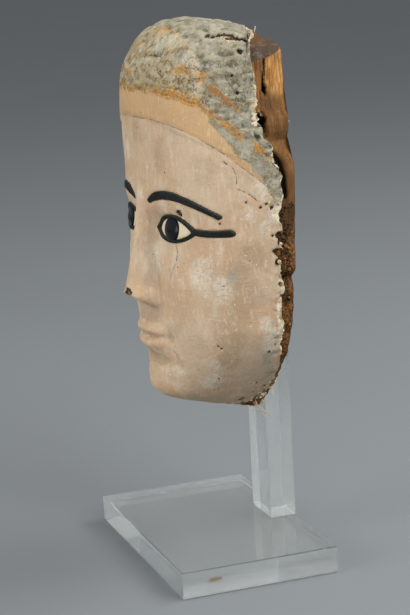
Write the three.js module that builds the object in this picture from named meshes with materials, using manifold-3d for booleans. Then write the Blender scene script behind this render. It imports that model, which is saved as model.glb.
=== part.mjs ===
// Egyptian mummy mask: a face carved from one block of wood, covered with painted plaster, with
// inlaid brows and eyes. It is held up by a clear acrylic bar that stands on a clear acrylic plate.
// Millimetres, +Z up. The origin is the centre of the plate's underside, and the face looks to -Y.
// The mask is made in a frame of its own: x across (its left is +x), y back (the sawn back of the
// block is y = 0, so the face is at negative y) and z up from the lowest point of the jaw.
import * as THREE from "three";
import { mergeVertices } from "three/addons/utils/BufferGeometryUtils.js";
import Module from "manifold-3d";

// Stand
const plateWidth = 198;
const plateDepth = 120;
const plateThickness = 20;
const barWidth = 38;
const barThickness = 20;
const barHeight = 262;
const edgeChamfer = 0.8; // on the edges of both acrylic pieces

// Mask
const maskHeight = 300;
const maskWidth = 192; // of the wood
const maskDepth = 82; // of the wood, from the sawn back to the forehead
const maskLift = 85; // from the plate's top to the lowest point of the jaw
const maskTurn = 5; // degrees that the face is turned on the sawn back, towards its left
const plasterThickness = 4;

// Where the plaster stops, as distances in front of the sawn back
const plasterEdgeOnRight = 10;
const plasterEdgeOnLeft = [20, 18, 14.5, 7.5, 8.5, 6.5, 7, 16, 22, 27]; // evenly, jaw to crown

// Inlays
const inlayDepth = 2; // how deep the brows and eyes are let into the plaster
const inlayProud = 0.9; // how far the brows and the eyes' surrounds stand out of it
const pupilDepth = 1;
const pupilProud = 0.6;
const rimWidth = 2.8;
const browWidths = [3.4, 6.2, 6, 5.2, 4.2, 3]; // evenly, from the nose outwards
const cosmeticLineWidths = [3, 4.6, 4.6, 5];

// Fits
const gap = 0.3; // between pieces that touch

// How finely the surfaces are cut
const fine = { columns: 15, under: 7, mouth: 19, eyes: 10, brow: 3, crown: 11 };
const coarse = { columns: 8, under: 4, mouth: 8, eyes: 7, brow: 2, crown: 8 };
const lidPoints = 8;
const stripPoints = 7;

// The carving is drawn on a canon of 300 parts to the mask's height, chin to crown in thirds of the
// face: nose base, brow and hairline are a third of the face apart.
const part = maskHeight / 300;
const canon = {
  underJaw: 1,
  chinAxis: 40,
  jawCorner: 80,
  chin: 34,
  lipFold: 51,
  mouth: 70,
  noseBase: 94,
  noseTip: 103,
  eye: 152,
  brow: 172,
  cheekbone: 205,
  crownAxis: 225,
  hairline: 233,
  crown: 300,
};
const eye = { centre: 38, halfLength: 18.5, upperLid: 8.5, lowerLid: 6.2, pupil: 8.2 };
const nose = { halfWidth: 18, reach: 19, root: 170 };
const mouthHalfWidth = 26;
const roundness = 2.2; // of the level sections, where 2 is an ellipse

const wasm = await Module();
wasm.setup();

const clamp01 = (t) => Math.min(1, Math.max(0, t));
const ease = (from, to, t) => {
  const s = clamp01((t - from) / (to - from));
  return s * s * (3 - 2 * s);
};
const mound = (t, width) => Math.exp(-((t / width) ** 2));
const shares = (count) => Array.from({ length: count + 1 }, (_, i) => i / count);

// Reads an evenly spaced list at a share of its length.
function along(list, share) {
  const place = clamp01(share) * (list.length - 1);
  const before = Math.min(Math.floor(place), list.length - 2);
  return list[before] + (list[before + 1] - list[before]) * (place - before);
}

// Three.js geometry to a solid and back
function solidOf(geometry) {
  const bare = geometry.clone();
  bare.deleteAttribute("normal");
  bare.deleteAttribute("uv");
  const merged = mergeVertices(bare, 1e-4);
  return new wasm.Manifold(
    new wasm.Mesh({
      numProp: 3,
      vertProperties: new Float32Array(merged.attributes.position.array),
      triVerts: new Uint32Array(merged.index.array),
    }),
  );
}

function geometryOf(solid) {
  const { vertProperties, triVerts } = solid.getMesh();
  const geometry = new THREE.BufferGeometry();
  geometry.setAttribute("position", new THREE.BufferAttribute(vertProperties, 3));
  geometry.setIndex(new THREE.BufferAttribute(triVerts, 1));
  geometry.computeVertexNormals();
  return geometry;
}

// A solid of the turned face, from a geometry in the face's own directions
const turnedSolid = (geometry) =>
  solidOf(geometry.clone().rotateZ(THREE.MathUtils.degToRad(maskTurn)));

// The form that the block is shaped to, in canon parts

// Half the width at a height, as a share of the widest
function widthShare(z) {
  const cheek = 0.72 + 0.28 * (1 - (1 - clamp01(z / canon.cheekbone)) ** 1.5);
  const below = clamp01((canon.jawCorner - z) / canon.jawCorner);
  const temples = 1 - 0.09 * ease(canon.cheekbone, 265, z);
  return cheek * temples * (1 - below ** 1.6) ** 0.9;
}

// The depth at a height, as a share of the forehead's, with a rounded edge under the jaw
function depthShare(z) {
  const front = 0.92 + 0.08 * clamp01(z / canon.hairline);
  const underside = Math.max(1e-6, (z - canon.underJaw) * 0.046);
  return (front ** -6 + underside ** -6) ** (-1 / 6);
}

// The top of the crown over a point: highest well in front of the back, and lower at the sides
function crownTop(x, y) {
  const behindTop = Math.max(0, y + 37) / 37;
  return canon.crown - 3 * behindTop ** 2 - 17 * (x / 92) ** 2;
}

// Under 1 inside the form and over 1 outside it
function formValue(x, y, z, halfWidth, depth) {
  if (z <= canon.underJaw + 0.02) return 2;
  const across = Math.abs(x) / (halfWidth * widthShare(z));
  const forward = Math.abs(y) / (depth * depthShare(z));
  const section = (across ** roundness + forward ** roundness) ** (1 / roundness);
  if (z <= canon.crownAxis) return section;
  const rise = (z - canon.crownAxis) / (crownTop(x, y) - canon.crownAxis);
  const corner = 4 + 10 * ease(-45, -5, y);
  return (section ** corner + rise ** corner) ** (1 / corner);
}

// The carving, as canon parts forward of the form
function noseForm(x, z) {
  const down = clamp01((nose.root - z) / (nose.root - canon.noseTip));
  const half = 7 + (nose.halfWidth - 12) * down ** 2;
  const height = 4 + (nose.reach - 4) * down ** 1.15;
  const ends = ease(canon.noseBase - 3, canon.noseTip, z) * ease(188, 158, z);
  const ridge = height * ends * Math.exp(-(Math.abs(x / half) ** 2.6));
  const wingCentre = nose.halfWidth - 5;
  const wing = 7 * mound(Math.abs(x) - wingCentre, 5.6) * mound(z - canon.noseTip + 3, 7);
  return ridge + wing * ease(canon.noseBase - 5, canon.noseBase + 3, z);
}

function mouthForm(x, z) {
  const side = Math.abs(x) / mouthHalfWidth;
  const line = canon.mouth + 1.3 * side ** 2;
  const taper = clamp01(1 - side ** 2.4);
  const bow = 1 - 0.2 * mound(x, 3.6);
  const upperLip = 4.6 * bow * mound(z - line - 5 + 2.6 * side ** 2, 4.6) * taper ** 0.8;
  const lowerLip = 5.2 * mound(z - line + 6 - 2 * side ** 2, 5.6) * taper;
  const parting = 3 * mound(z - line, 2.4) * taper ** 0.5;
  const corner = 2 * mound(Math.abs(x) - mouthHalfWidth - 1, 5) * mound(z - line, 6);
  const muzzle = 4.5 * mound(x, 28) * mound(z - canon.mouth - 6, 20);
  return muzzle + upperLip + lowerLip - parting - corner;
}

function chinAndCheeks(x, z) {
  const chin = 5.5 * mound(x, 20) * mound(z - canon.chin + 2, 15);
  const fold = -3 * mound(x, 19) * mound(z - canon.lipFold, 6);
  const groove = -1.4 * mound(x, 3.6) * ease(77, 83, z) * ease(97, 89, z);
  const cheeks = 4 * mound(Math.abs(x) - 43, 22) * mound(z - 112, 30);
  return chin + fold + groove + cheeks;
}

function browsAndSockets(x, z) {
  const side = Math.abs(x);
  const ridge = 2.2 * mound(side - 34, 26) * mound(z - canon.brow + 2, 9);
  const socket = -6.2 * mound(side - 33, 20) * mound(z - canon.eye - 2, 13.5);
  const inner = -2.6 * mound(side - 17, 7) * mound(z - canon.eye - 4, 13);
  const ball = 5.6 * mound(side - eye.centre, 17) * mound(z - canon.eye, 9);
  return ridge + socket + inner + ball;
}

// The head-cloth stands a little proud above the hairline
function clothEdge(x, z) {
  const line = canon.hairline - 30 * Math.min(1, Math.abs(x) / 92) ** 2;
  return 1.1 * ease(line - 1.5, line + 1.5, z);
}

const carving = (x, z) =>
  noseForm(x, z) + mouthForm(x, z) + chinAndCheeks(x, z) + browsAndSockets(x, z) + clothEdge(x, z);

// Angles round the form, from its right side through the middle of the face to its left, closer
// together at the nose and mouth
function columnAngles(count) {
  const half = shares(count).map((t) => (Math.PI / 2) * (0.36 * t + 0.64 * t ** 2.2));
  const right = half.slice(1).reverse();
  return [...right.map((angle) => -angle), ...half];
}

// Each row of the surface is a fan of rays from a point of the back: its height and its slope
function rowRays({ under, mouth, eyes, brow, crown }) {
  const noseMiddle = canon.noseTip + 9;
  const browTop = canon.brow + 12;
  const level = (count, from, to) =>
    shares(count)
      .slice(1)
      .map((t) => [from + (to - from) * t, 0]);
  return [
    ...shares(under)
      .slice(0, -1)
      .reverse()
      .map((t) => [canon.chinAxis, (-Math.PI / 2) * t ** 2]),
    ...level(mouth, canon.chinAxis, noseMiddle),
    ...level(eyes, noseMiddle, browTop),
    ...level(brow, browTop, canon.crownAxis),
    ...shares(crown)
      .slice(1, -1)
      .map((t) => [canon.crownAxis, (Math.PI / 2) * t]),
  ];
}

// The distance along a ray at which the form ends
function reach(origin, direction, halfWidth, depth) {
  let near = 0;
  let far = canon.crown;
  for (let i = 0; i < 40; i += 1) {
    const middle = (near + far) / 2;
    const [x, y, z] = direction.map((d) => d * middle);
    if (formValue(x, y, z + origin, halfWidth, depth) < 1) near = middle;
    else far = middle;
  }
  return near;
}

// A closed form with the carving on it, grown by some millimetres from the wood. It runs on past
// the sawn back, where the turned face is cut off flat.
function formGeometry(fineness, grown) {
  const halfWidth = (maskWidth / 2 + grown) / part;
  const depth = (maskDepth + grown) / part;
  const back = maskDepth * 0.3;
  const angles = columnAngles(fineness.columns);
  const rays = rowRays(fineness);
  const points = [];
  const put = (x, y, z) => points.push(x * part, y, z * part) / 3 - 1;
  const lowered = plasterThickness - grown;
  const settle = (z) => z - (lowered / part) * ease(canon.crownAxis, canon.crown, z);
  const grid = rays.map(([origin, slope]) =>
    angles.map((angle, column) => {
      const direction = [
        Math.sin(angle) * Math.cos(slope),
        -Math.cos(angle) * Math.cos(slope),
        Math.sin(slope),
      ];
      const distance = reach(origin, direction, halfWidth, depth);
      const [x, y, z] = direction.map((d) => d * distance);
      const onRim = column === 0 || column === angles.length - 1;
      const forward = carving(x, z + origin) * ease(0, -30, y);
      return put(x, onRim ? back : (y - forward) * part, settle(z + origin));
    }),
  );
  const lowest = put(0, back, canon.underJaw + lowered / part);
  const highest = put(0, back, settle(crownTop(0, 0)));
  const triangles = [];
  const last = angles.length - 1;
  for (let row = 0; row + 1 < grid.length; row += 1) {
    for (let column = 0; column <= last; column += 1) {
      const next = (column + 1) % (last + 1);
      const [a, b] = [grid[row][column], grid[row][next]];
      const [c, d] = [grid[row + 1][next], grid[row + 1][column]];
      const mirrored = column >= angles.length / 2 - 1;
      triangles.push(...(mirrored ? [a, b, d, b, c, d] : [a, b, c, a, c, d]));
    }
  }
  const [bottom, top] = [grid[0], grid[grid.length - 1]];
  for (let column = 0; column <= last; column += 1) {
    const next = (column + 1) % (last + 1);
    triangles.push(lowest, bottom[next], bottom[column]);
    triangles.push(highest, top[column], top[next]);
  }
  const geometry = new THREE.BufferGeometry();
  geometry.setAttribute("position", new THREE.Float32BufferAttribute(points, 3));
  geometry.setIndex(triangles);
  return geometry;
}

// Everything behind the sawn back
function behindBack() {
  const size = 2 * maskHeight;
  return solidOf(new THREE.BoxGeometry(size, size, size).translate(0, size / 2, maskHeight / 2));
}

// Everything behind the plaster's edge
function behindPlasterEdge() {
  const steps = plasterEdgeOnLeft.length - 1;
  const slab = new THREE.BoxGeometry(1, 1, 1, 8, 1, steps);
  const place = slab.attributes.position;
  for (let i = 0; i < place.count; i += 1) {
    const leftward = place.getX(i) + 0.5;
    const upward = place.getZ(i) + 0.5;
    const left = plasterEdgeOnLeft[Math.round(upward * steps)];
    const edge = plasterEdgeOnRight + (left - plasterEdgeOnRight) * ease(0.15, 0.85, leftward);
    const y = place.getY(i) < 0 ? -edge : maskDepth;
    place.setXYZ(i, (leftward - 0.5) * maskWidth * 1.2, y, maskHeight * (upward * 1.1 - 0.05));
  }
  return solidOf(slab);
}

// Outlines of the inlays, as points across (outwards from the nose) and up, in millimetres
function lensOutline(grow) {
  const half = eye.halfLength * part + 1.6 * grow;
  const lid = (t, height) => (height * part + grow) * (1 - t * t) ** 0.8;
  const upper = shares(lidPoints).map((t) => 2 * t - 1);
  return [
    ...upper.map((t) => [t, lid(t, eye.upperLid)]),
    ...upper
      .slice(1, -1)
      .reverse()
      .map((t) => [t, -lid(t, eye.lowerLid)]),
  ].map(([t, z]) => [eye.centre * part + t * half, canon.eye * part + z]);
}

function pupilOutline(grow) {
  const radius = eye.pupil * part + grow;
  const turn = shares(2 * lidPoints).slice(1);
  return turn.map((t) => [
    eye.centre * part + radius * Math.cos(2 * Math.PI * t),
    (canon.eye + 1) * part + radius * Math.sin(2 * Math.PI * t),
  ]);
}

// A strip along a curve, with the widths that it has evenly along it
function stripOutline(curve, widths, grow) {
  const sides = [1, -1].map((side) =>
    shares(stripPoints).map((t) => {
      const point = curve.getPoint(t);
      const direction = curve.getTangent(t);
      const half = side * (along(widths, t) / 2 + grow);
      const past = t === 0 ? -grow : t === 1 ? grow : 0;
      return [
        point.x + direction.x * past - direction.y * half,
        point.y + direction.y * past + direction.x * half,
      ];
    }),
  );
  return [...sides[0], ...sides[1].reverse()];
}

const browCurve = new THREE.CubicBezierCurve(
  new THREE.Vector2(13, canon.brow - 1).multiplyScalar(part),
  new THREE.Vector2(30, canon.brow + 9).multiplyScalar(part),
  new THREE.Vector2(52, canon.brow + 8).multiplyScalar(part),
  new THREE.Vector2(76, canon.brow - 9).multiplyScalar(part),
);
const cosmeticLine = new THREE.CubicBezierCurve(
  new THREE.Vector2(eye.centre + eye.halfLength - 3, canon.eye + 2).multiplyScalar(part),
  new THREE.Vector2(62, canon.eye - 1).multiplyScalar(part),
  new THREE.Vector2(70, canon.eye - 1).multiplyScalar(part),
  new THREE.Vector2(80, canon.eye).multiplyScalar(part),
);
const browOutline = (grow) => stripOutline(browCurve, browWidths, grow);
const lineOutline = (grow) => stripOutline(cosmeticLine, cosmeticLineWidths, grow);

// The outline's prism from front to back of the face; side is 1 on its left and -1 on its right
function prism(outline, side) {
  const shape = new THREE.Shape(outline.map(([x, z]) => new THREE.Vector2(side * x, z)));
  const length = 2 * maskDepth;
  const geometry = new THREE.ExtrudeGeometry(shape, { depth: length, bevelEnabled: false });
  return turnedSolid(geometry.rotateX(Math.PI / 2));
}

const plasterForm = formGeometry(fine, plasterThickness);
const plasterFormAt = (back) => turnedSolid(plasterForm.clone().translate(0, back, 0));

// A layer of the face, from some millimetres in front of its surface to some behind it
const layer = (proud, depth) => plasterFormAt(-proud).subtract(plasterFormAt(depth));

const rimPrism = (grow, side) =>
  prism(lensOutline(rimWidth + grow), side).add(prism(lineOutline(grow), side));

function eyePieces(side) {
  const lens = prism(lensOutline(0), side);
  const pupilPocket = prism(pupilOutline(gap), side).subtract(plasterFormAt(pupilDepth + gap));
  return {
    rim: rimPrism(0, side)
      .subtract(prism(lensOutline(gap), side))
      .intersect(layer(inlayProud, inlayDepth)),
    white: lens.intersect(layer(0, inlayDepth)).subtract(pupilPocket),
    pupil: prism(pupilOutline(0), side).intersect(lens).intersect(layer(pupilProud, pupilDepth)),
  };
}

const browPiece = (side) => prism(browOutline(0), side).intersect(layer(inlayProud, inlayDepth));

const inlayPockets = (side) =>
  rimPrism(gap, side)
    .add(prism(browOutline(gap), side))
    .subtract(plasterFormAt(inlayDepth + gap));

const woodForm = (grown) => turnedSolid(formGeometry(coarse, grown));

const woodBlock = () => woodForm(0).subtract(behindBack());

const plasterSkin = () =>
  plasterFormAt(0)
    .subtract(woodForm(gap))
    .subtract(behindPlasterEdge())
    .subtract(inlayPockets(1))
    .subtract(inlayPockets(-1));

// A block of acrylic with chamfered edges, standing on its own middle
function acrylicBlock(width, depth, height) {
  const [x, y] = [width / 2 - edgeChamfer, depth / 2 - edgeChamfer];
  const corners = [
    [-x, -y],
    [x, -y],
    [x, y],
    [-x, y],
  ];
  const geometry = new THREE.ExtrudeGeometry(
    new THREE.Shape(corners.map(([u, v]) => new THREE.Vector2(u, v))),
    {
      depth: height - 2 * edgeChamfer,
      bevelThickness: edgeChamfer,
      bevelSize: edgeChamfer,
      bevelSegments: 1,
    },
  );
  return geometryOf(solidOf(geometry.translate(0, 0, edgeChamfer)));
}

// Materials
const finish = (color, roughness, rest = {}) =>
  new THREE.MeshStandardMaterial({ color, roughness, metalness: 0, ...rest });
const wood = finish(0x84552e, 0.85);
const plaster = finish(0xc9ad92, 0.9);
const darkInlay = finish(0x1c2a26, 0.45);
const whiteInlay = finish(0xddd0b4, 0.5);
const pupilInlay = finish(0x0c0e12, 0.12);
const acrylic = finish(0xe4ecea, 0.05, { transparent: true, opacity: 0.35 });

function addPiece(group, name, geometry, material) {
  const mesh = new THREE.Mesh(geometry, material);
  mesh.name = name;
  group.add(mesh);
  return mesh;
}

const model = new THREE.Group();
const barBack = plateDepth / 2;
const plateAndBar = new THREE.Group();
model.add(plateAndBar);
addPiece(plateAndBar, "stand_plate", acrylicBlock(plateWidth, plateDepth, plateThickness), acrylic);
addPiece(plateAndBar, "stand_bar", acrylicBlock(barWidth, barThickness, barHeight), acrylic)
  .position.set(0, barBack - barThickness / 2, plateThickness + gap);

const mask = new THREE.Group();
mask.position.set(0, barBack - barThickness - gap, plateThickness + maskLift);
model.add(mask);
addPiece(mask, "wood_block", geometryOf(woodBlock()), wood);
addPiece(mask, "plaster_skin", geometryOf(plasterSkin()), plaster);
for (const [sideName, side] of [
  ["left", 1],
  ["right", -1],
]) {
  const { rim, white, pupil } = eyePieces(side);
  addPiece(mask, `brow_${sideName}`, geometryOf(browPiece(side)), darkInlay);
  addPiece(mask, `eye_rim_${sideName}`, geometryOf(rim), darkInlay);
  addPiece(mask, `eye_white_${sideName}`, geometryOf(white), whiteInlay);
  addPiece(mask, `pupil_${sideName}`, geometryOf(pupil), pupilInlay);
}

export default model;
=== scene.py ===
# Egyptian mummy mask on a clear acrylic stand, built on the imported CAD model.
# The mask is worked out in millimetres in its own frame: the face looks to -Y, its left side
# is +X, z runs from the underside of the jaw (0) to the crown (300) and y = 0 is at the back.

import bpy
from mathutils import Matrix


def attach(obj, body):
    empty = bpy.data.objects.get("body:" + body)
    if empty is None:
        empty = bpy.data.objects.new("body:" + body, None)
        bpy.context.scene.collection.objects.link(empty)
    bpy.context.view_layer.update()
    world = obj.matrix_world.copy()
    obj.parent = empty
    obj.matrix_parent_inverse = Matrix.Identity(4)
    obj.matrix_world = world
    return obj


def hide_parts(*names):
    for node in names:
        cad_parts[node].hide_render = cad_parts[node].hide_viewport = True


bl_info = {
    "name": "Egyptian Mummy Mask",
    "version": (1, 0, 0),
    "blender": (4, 5, 0),
    "location": "3D Viewport > Sidebar > Mask",
    "description": "Builds a worn, painted wooden mummy mask on its acrylic stand",
    "category": "Add Mesh",
}

from math import cos, pi, radians, sin

import bpy
import numpy as np
from mathutils import Matrix, Vector

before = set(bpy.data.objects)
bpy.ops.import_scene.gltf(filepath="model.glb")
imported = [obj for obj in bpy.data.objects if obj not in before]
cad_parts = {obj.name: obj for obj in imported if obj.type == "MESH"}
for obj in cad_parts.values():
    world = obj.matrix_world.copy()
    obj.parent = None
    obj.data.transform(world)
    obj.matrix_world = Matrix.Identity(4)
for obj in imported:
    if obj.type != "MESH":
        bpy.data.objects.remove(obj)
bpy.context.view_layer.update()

MM = 0.001
ROUNDNESS = 2.2  # of the level sections, where 2 is an ellipse
CHIN_AXIS = 40.0  # height of the axis that the surface bends round at the jaw
LEVEL_ROWS = 185.0  # from the chin's axis to the crown's
CROWN_AXIS = CHIN_AXIS + LEVEL_ROWS
RAY_START = 12.0  # behind the back, where the rays to the surface start
RAY_LENGTH = 300.0
ACROSS_REACH = 90.0  # millimetres of surface for each radian across
TOP_REACH = 72.0  # and for each radian of slope at the crown
UNDER_REACH = 38.0  # and at the jaw
CREST = 300.0  # height of the crown
INLAY_GAP = 0.3
INNER_GAP = 0.35  # from the wood to the plaster's inside


# Noise and curves


def ease(start, end, t):
    s = np.clip((t - start) / (end - start), 0.0, 1.0)
    return s * s * (3.0 - 2.0 * s)


def mound(t, width):
    return np.exp(-((t / width) ** 2))


def noise(points, size, seed=0):
    """Smooth noise from -1 to 1 at points, with features of about the given size."""
    place = np.asarray(points, float) / size + seed * 7.31
    cell = np.floor(place).astype(np.int64)
    part = place - cell
    part = part * part * (3.0 - 2.0 * part)
    total = np.zeros(len(place))
    for corner in np.ndindex(2, 2, 2):
        x, y, z = (cell + corner).T
        mixed = (x * 73856093) ^ (y * 19349663) ^ (z * 83492791) ^ (seed * 2654435761)
        mixed = ((mixed ^ (mixed >> 13)) * 1274126177) & 0x7FFFFFFF
        mixed = ((mixed ^ (mixed >> 15)) * 739391) & 0x7FFFFFFF
        weight = np.prod(np.where(corner, part, 1.0 - part), axis=1)
        total += weight * (mixed / 0x3FFFFFFF - 1.0)
    return total


def rough(points, size, octaves, seed=0):
    """Noise with finer and finer detail added."""
    total = np.zeros(len(points))
    for k in range(octaves):
        total += noise(points, size / 2**k, seed + k) / 2**k
    return total


def stretched(points, across, along):
    """Points scaled so that the noise on them runs along z."""
    return np.asarray(points) * [1.0 / across, 1.0 / across, 1.0 / along]


def table(pairs, value):
    """Reads a table of (place, value) pairs, straight between them."""
    places, values = np.array(pairs, float).T
    return np.interp(value, places, values)


def line_distance(points, line):
    """Distance to a broken line and on which side of it the point is, seen from the front."""
    nearest = np.full(len(points), 1e9)
    side = np.ones(len(points))
    line = np.array(line, float)
    for a, b in zip(line[:-1], line[1:]):
        ab = b - a
        share = np.clip((points - a) @ ab / (ab @ ab), 0.0, 1.0)
        off = points - a - share[:, None] * ab
        distance = np.linalg.norm(off, axis=1)
        outward = np.array([a[0], a[1] * 1.2, 0.0])
        turned = np.cross(ab, outward)
        closer = distance < nearest
        nearest[closer] = distance[closer]
        side[closer] = np.sign(off[closer] @ turned + 1e-9)
    return nearest, side


# The carved form


def width_share(z):
    """The width at a height, as a share of the widest."""
    cheek = 0.72 + 0.28 * (1 - (1 - np.clip(z / 205, 0, 1)) ** 1.5)
    below = np.clip((80 - z) / 80, 0, 1)
    temples = 1 - 0.09 * ease(205, 265, z)
    return cheek * temples * (1 - below**1.6) ** 0.9


def depth_share(z):
    """The depth at a height, as a share of the deepest."""
    front = 0.92 + 0.08 * np.clip(z / 233, 0, 1)
    underside = np.maximum(1e-6, (z - 1) * 0.046)
    return (front**-6 + underside**-6) ** (-1 / 6)


def crown_sag(x, y, z):
    """How far the real, uneven crown is below the plain form."""
    behind = 4.2 * ease(-45, -12, y) * (1 - ease(50, 84, x))
    return (behind + 6 * ease(-52, -84, y)) * ease(232, 285, z)


def crown_top(x, y):
    """Height of the plain crown over a place."""
    behind = np.maximum(0, y + 37) / 37
    return CREST - 3 * behind**2 - 17 * (x / 92) ** 2


def form_value(x, y, z, grown, sizes):
    """Below 1 inside the plain form, grown by some millimetres, and above 1 outside it."""
    half_width = sizes.half_width / MM + grown
    depth = sizes.depth / MM + grown
    across = np.abs(x) / (half_width * np.maximum(1e-6, width_share(z)))
    forward = np.abs(y) / (depth * depth_share(z))
    section = (across**ROUNDNESS + forward**ROUNDNESS) ** (1 / ROUNDNESS)
    rise = np.maximum(0, (z - CROWN_AXIS) / (crown_top(x, y) - CROWN_AXIS))
    corner = 4 + 10 * ease(-45, -5, y)
    crown = (section**corner + rise**corner) ** (1 / corner)
    return np.where(z <= 1.02, 2.0, np.where(z <= CROWN_AXIS, section, crown))


def nose_form(x, z):
    down = np.clip((170 - z) / 67, 0, 1)
    half = 7 + 6 * down**2
    height = 4 + 15 * down**1.15
    ends = ease(91, 103, z) * ease(188, 158, z)
    ridge = height * ends * np.exp(-(np.abs(x / half) ** 2.6))
    wing = 7 * mound(np.abs(x) - 13, 5.6) * mound(z - 100, 7)
    return ridge + wing * ease(89, 97, z)


def mouth_form(x, z):
    side = np.abs(x) / 26
    line = 70 + 1.3 * side**2
    taper = np.clip(1 - side**2.4, 0, 1)
    bow = 1 - 0.2 * mound(x, 3.6)
    upper = 4.6 * bow * mound(z - line - 5 + 2.6 * side**2, 4.6) * taper**0.8
    lower = 5.2 * mound(z - line + 6 - 2 * side**2, 5.6) * taper
    parting = 3 * mound(z - line, 2.4) * taper**0.5
    corner = 2 * mound(np.abs(x) - 27, 5) * mound(z - line, 6)
    muzzle = 4.5 * mound(x, 28) * mound(z - 76, 20)
    return muzzle + upper + lower - parting - corner


def chin_and_cheeks(x, z):
    chin = 5.5 * mound(x, 20) * mound(z - 32, 15) - 3 * mound(x, 19) * mound(z - 51, 6)
    groove = 1.4 * mound(x, 3.6) * ease(77, 83, z) * ease(97, 89, z)
    return chin - groove + 4 * mound(np.abs(x) - 43, 22) * mound(z - 112, 30)


def brows_and_sockets(x, z):
    side = np.abs(x)
    ridge = 2.2 * mound(side - 34, 26) * mound(z - 170, 9)
    socket = 6.2 * mound(side - 33, 20) * mound(z - 154, 13.5)
    inner = 2.6 * mound(side - 17, 7) * mound(z - 156, 13)
    return ridge - socket - inner + 5.6 * mound(side - 38, 17) * mound(z - 152, 9)


def cloth_edge(x, z):
    """The low step up to the head-cloth over the forehead."""
    line = 233 - 30 * np.minimum(1, np.abs(x) / 92) ** 2
    return 1.1 * ease(line - 1.5, line + 1.5, z)


def carving(x, z):
    """How far the face stands out of the plain form."""
    face = nose_form(x, z) + mouth_form(x, z) + chin_and_cheeks(x, z)
    return face + brows_and_sockets(x, z) + cloth_edge(x, z)


def finished(x, y, z, grown, sizes):
    """Adds the carving to points of the plain form."""
    lowered = sizes.plaster_thickness / MM - grown
    forward = carving(x, z) * ease(0, -30, y)
    settled = z - lowered * ease(CROWN_AXIS, CREST, z)
    return np.stack([x, y - forward, settled], axis=-1)


def narrowed(near, far, rounds, inside):
    """Closes in on where a form ends: near stays inside it and far stays beyond it."""
    for _ in range(rounds):
        middle = (near + far) / 2
        kept = inside(middle)
        near, far = np.where(kept, middle, near), np.where(kept, far, middle)
    return near, far


def surface(across, upward, grown, sizes):
    """Points of the form, grown by some millimetres from the wood.

    across is the angle round the form and upward the way up it, which bends over at the jaw
    and at the crown.
    """
    slope = np.maximum(upward - LEVEL_ROWS, 0) / TOP_REACH + np.minimum(upward, 0) / UNDER_REACH
    axis = CHIN_AXIS + np.clip(upward, 0, LEVEL_ROWS)
    way = (np.sin(across), -np.cos(across) * np.cos(slope), np.cos(across) * np.sin(slope))

    def reached(distance):
        return way[0] * distance, way[1] * distance + RAY_START, way[2] * distance + axis

    def inside(distance):
        x, y, z = reached(distance)
        return form_value(x, np.minimum(y, 0), z, grown, sizes) < 1

    near, far = narrowed(np.zeros_like(axis), np.full_like(axis, RAY_LENGTH), 25, inside)
    return finished(*reached((near + far) / 2), grown, sizes)


def face_depth(x, z, grown, sizes):
    """How far forward the carved form is at places across and up the face."""
    x, z = np.asarray(x, float), np.asarray(z, float)

    def inside(forward):
        return form_value(x, -forward, z, grown, sizes) < 1

    near, _ = narrowed(np.zeros_like(x), np.full_like(x, 120.0), 26, inside)
    return -(near + carving(x, z) * ease(0, 30, near))


def grid_place(points):
    """The angle across and the way up of points near the surface."""
    x, y, z = np.array(points, float).T
    back = RAY_START - y
    rise = np.maximum(z - CROWN_AXIS, 0) + np.minimum(z - CHIN_AXIS, 0)
    slope = np.arctan2(rise, back)
    across = np.arctan2(x, np.hypot(back, rise))
    upward = np.clip(z - CHIN_AXIS, 0, LEVEL_ROWS)
    upward = upward + np.where(slope > 0, slope * TOP_REACH, slope * UNDER_REACH)
    return np.stack([across, upward], axis=-1)


def evenly(line, count):
    """A broken line's points, taken evenly along it."""
    line = np.asarray(line, float)
    scaled = line * [ACROSS_REACH, 1.0]
    steps = np.linalg.norm(np.diff(scaled, axis=0), axis=1)
    lengths = np.concatenate([[0], np.cumsum(steps)])
    at = np.linspace(0, lengths[-1], count)
    return np.stack([np.interp(at, lengths, line[:, k]) for k in range(2)], axis=-1)


def tie_corners(right, left, bottom, top):
    """Moves the ends of the bottom and the top to those of the sides."""
    bottom[0], bottom[-1] = right[0], left[0]
    top[0], top[-1] = right[-1], left[-1]


def patch(right, left, bottom, top):
    """Fills a four-sided patch from its sides, which share their corners."""
    rows, columns = len(left), len(bottom)
    a = np.linspace(0, 1, columns)[None, :, None]
    b = np.linspace(0, 1, rows)[:, None, None]
    sides = (1 - a) * right[:, None] + a * left[:, None]
    ends = (1 - b) * bottom[None] + b * top[None]
    corners = (1 - b) * ((1 - a) * bottom[0] + a * bottom[-1]) + b * ((1 - a) * top[0] + a * top[-1])
    return sides + ends - corners


def placed(points, sizes):
    """Points of the mask's frame turned and put on the stand, in metres."""
    c, s = cos(sizes.turn), sin(sizes.turn)
    x, y, z = np.asarray(points, float).T
    turned = np.stack([c * x - s * y, s * x + c * y, z - crown_sag(x, y, z)], axis=-1)
    return turned * MM + [0.0, sizes.back, sizes.lift]


def behind_back(points, sizes):
    """How far points are behind the sawn back, below 0 in front of it."""
    return points[..., 1] * cos(sizes.turn) + points[..., 0] * sin(sizes.turn)


def set_on_back(points, depth, sizes):
    """Points moved along y until they lie some depth in front of the sawn back."""
    shift = (-behind_back(points, sizes) - depth) / cos(sizes.turn)
    return points + shift[:, None] * [0, 1, 0]


# Outlines of the inlays, across and up the face: below 0 inside

BROW = [(13, 171), (30, 181), (52, 180), (76, 163)]
BROW_WIDTHS = [3.4, 6.2, 6, 5.2, 4.2, 3]
COSMETIC_LINE = [(53.5, 154), (62, 151), (70, 151), (80, 152)]
COSMETIC_WIDTHS = [3, 4.6, 4.6, 5]
EYE_PLACE = (38, 152)
EYE_HALF = 18.5
UPPER_LID = 8.5
LOWER_LID = 6.2
PUPIL_RADIUS = 8.2
RIM_WIDTH = 2.8


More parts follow.
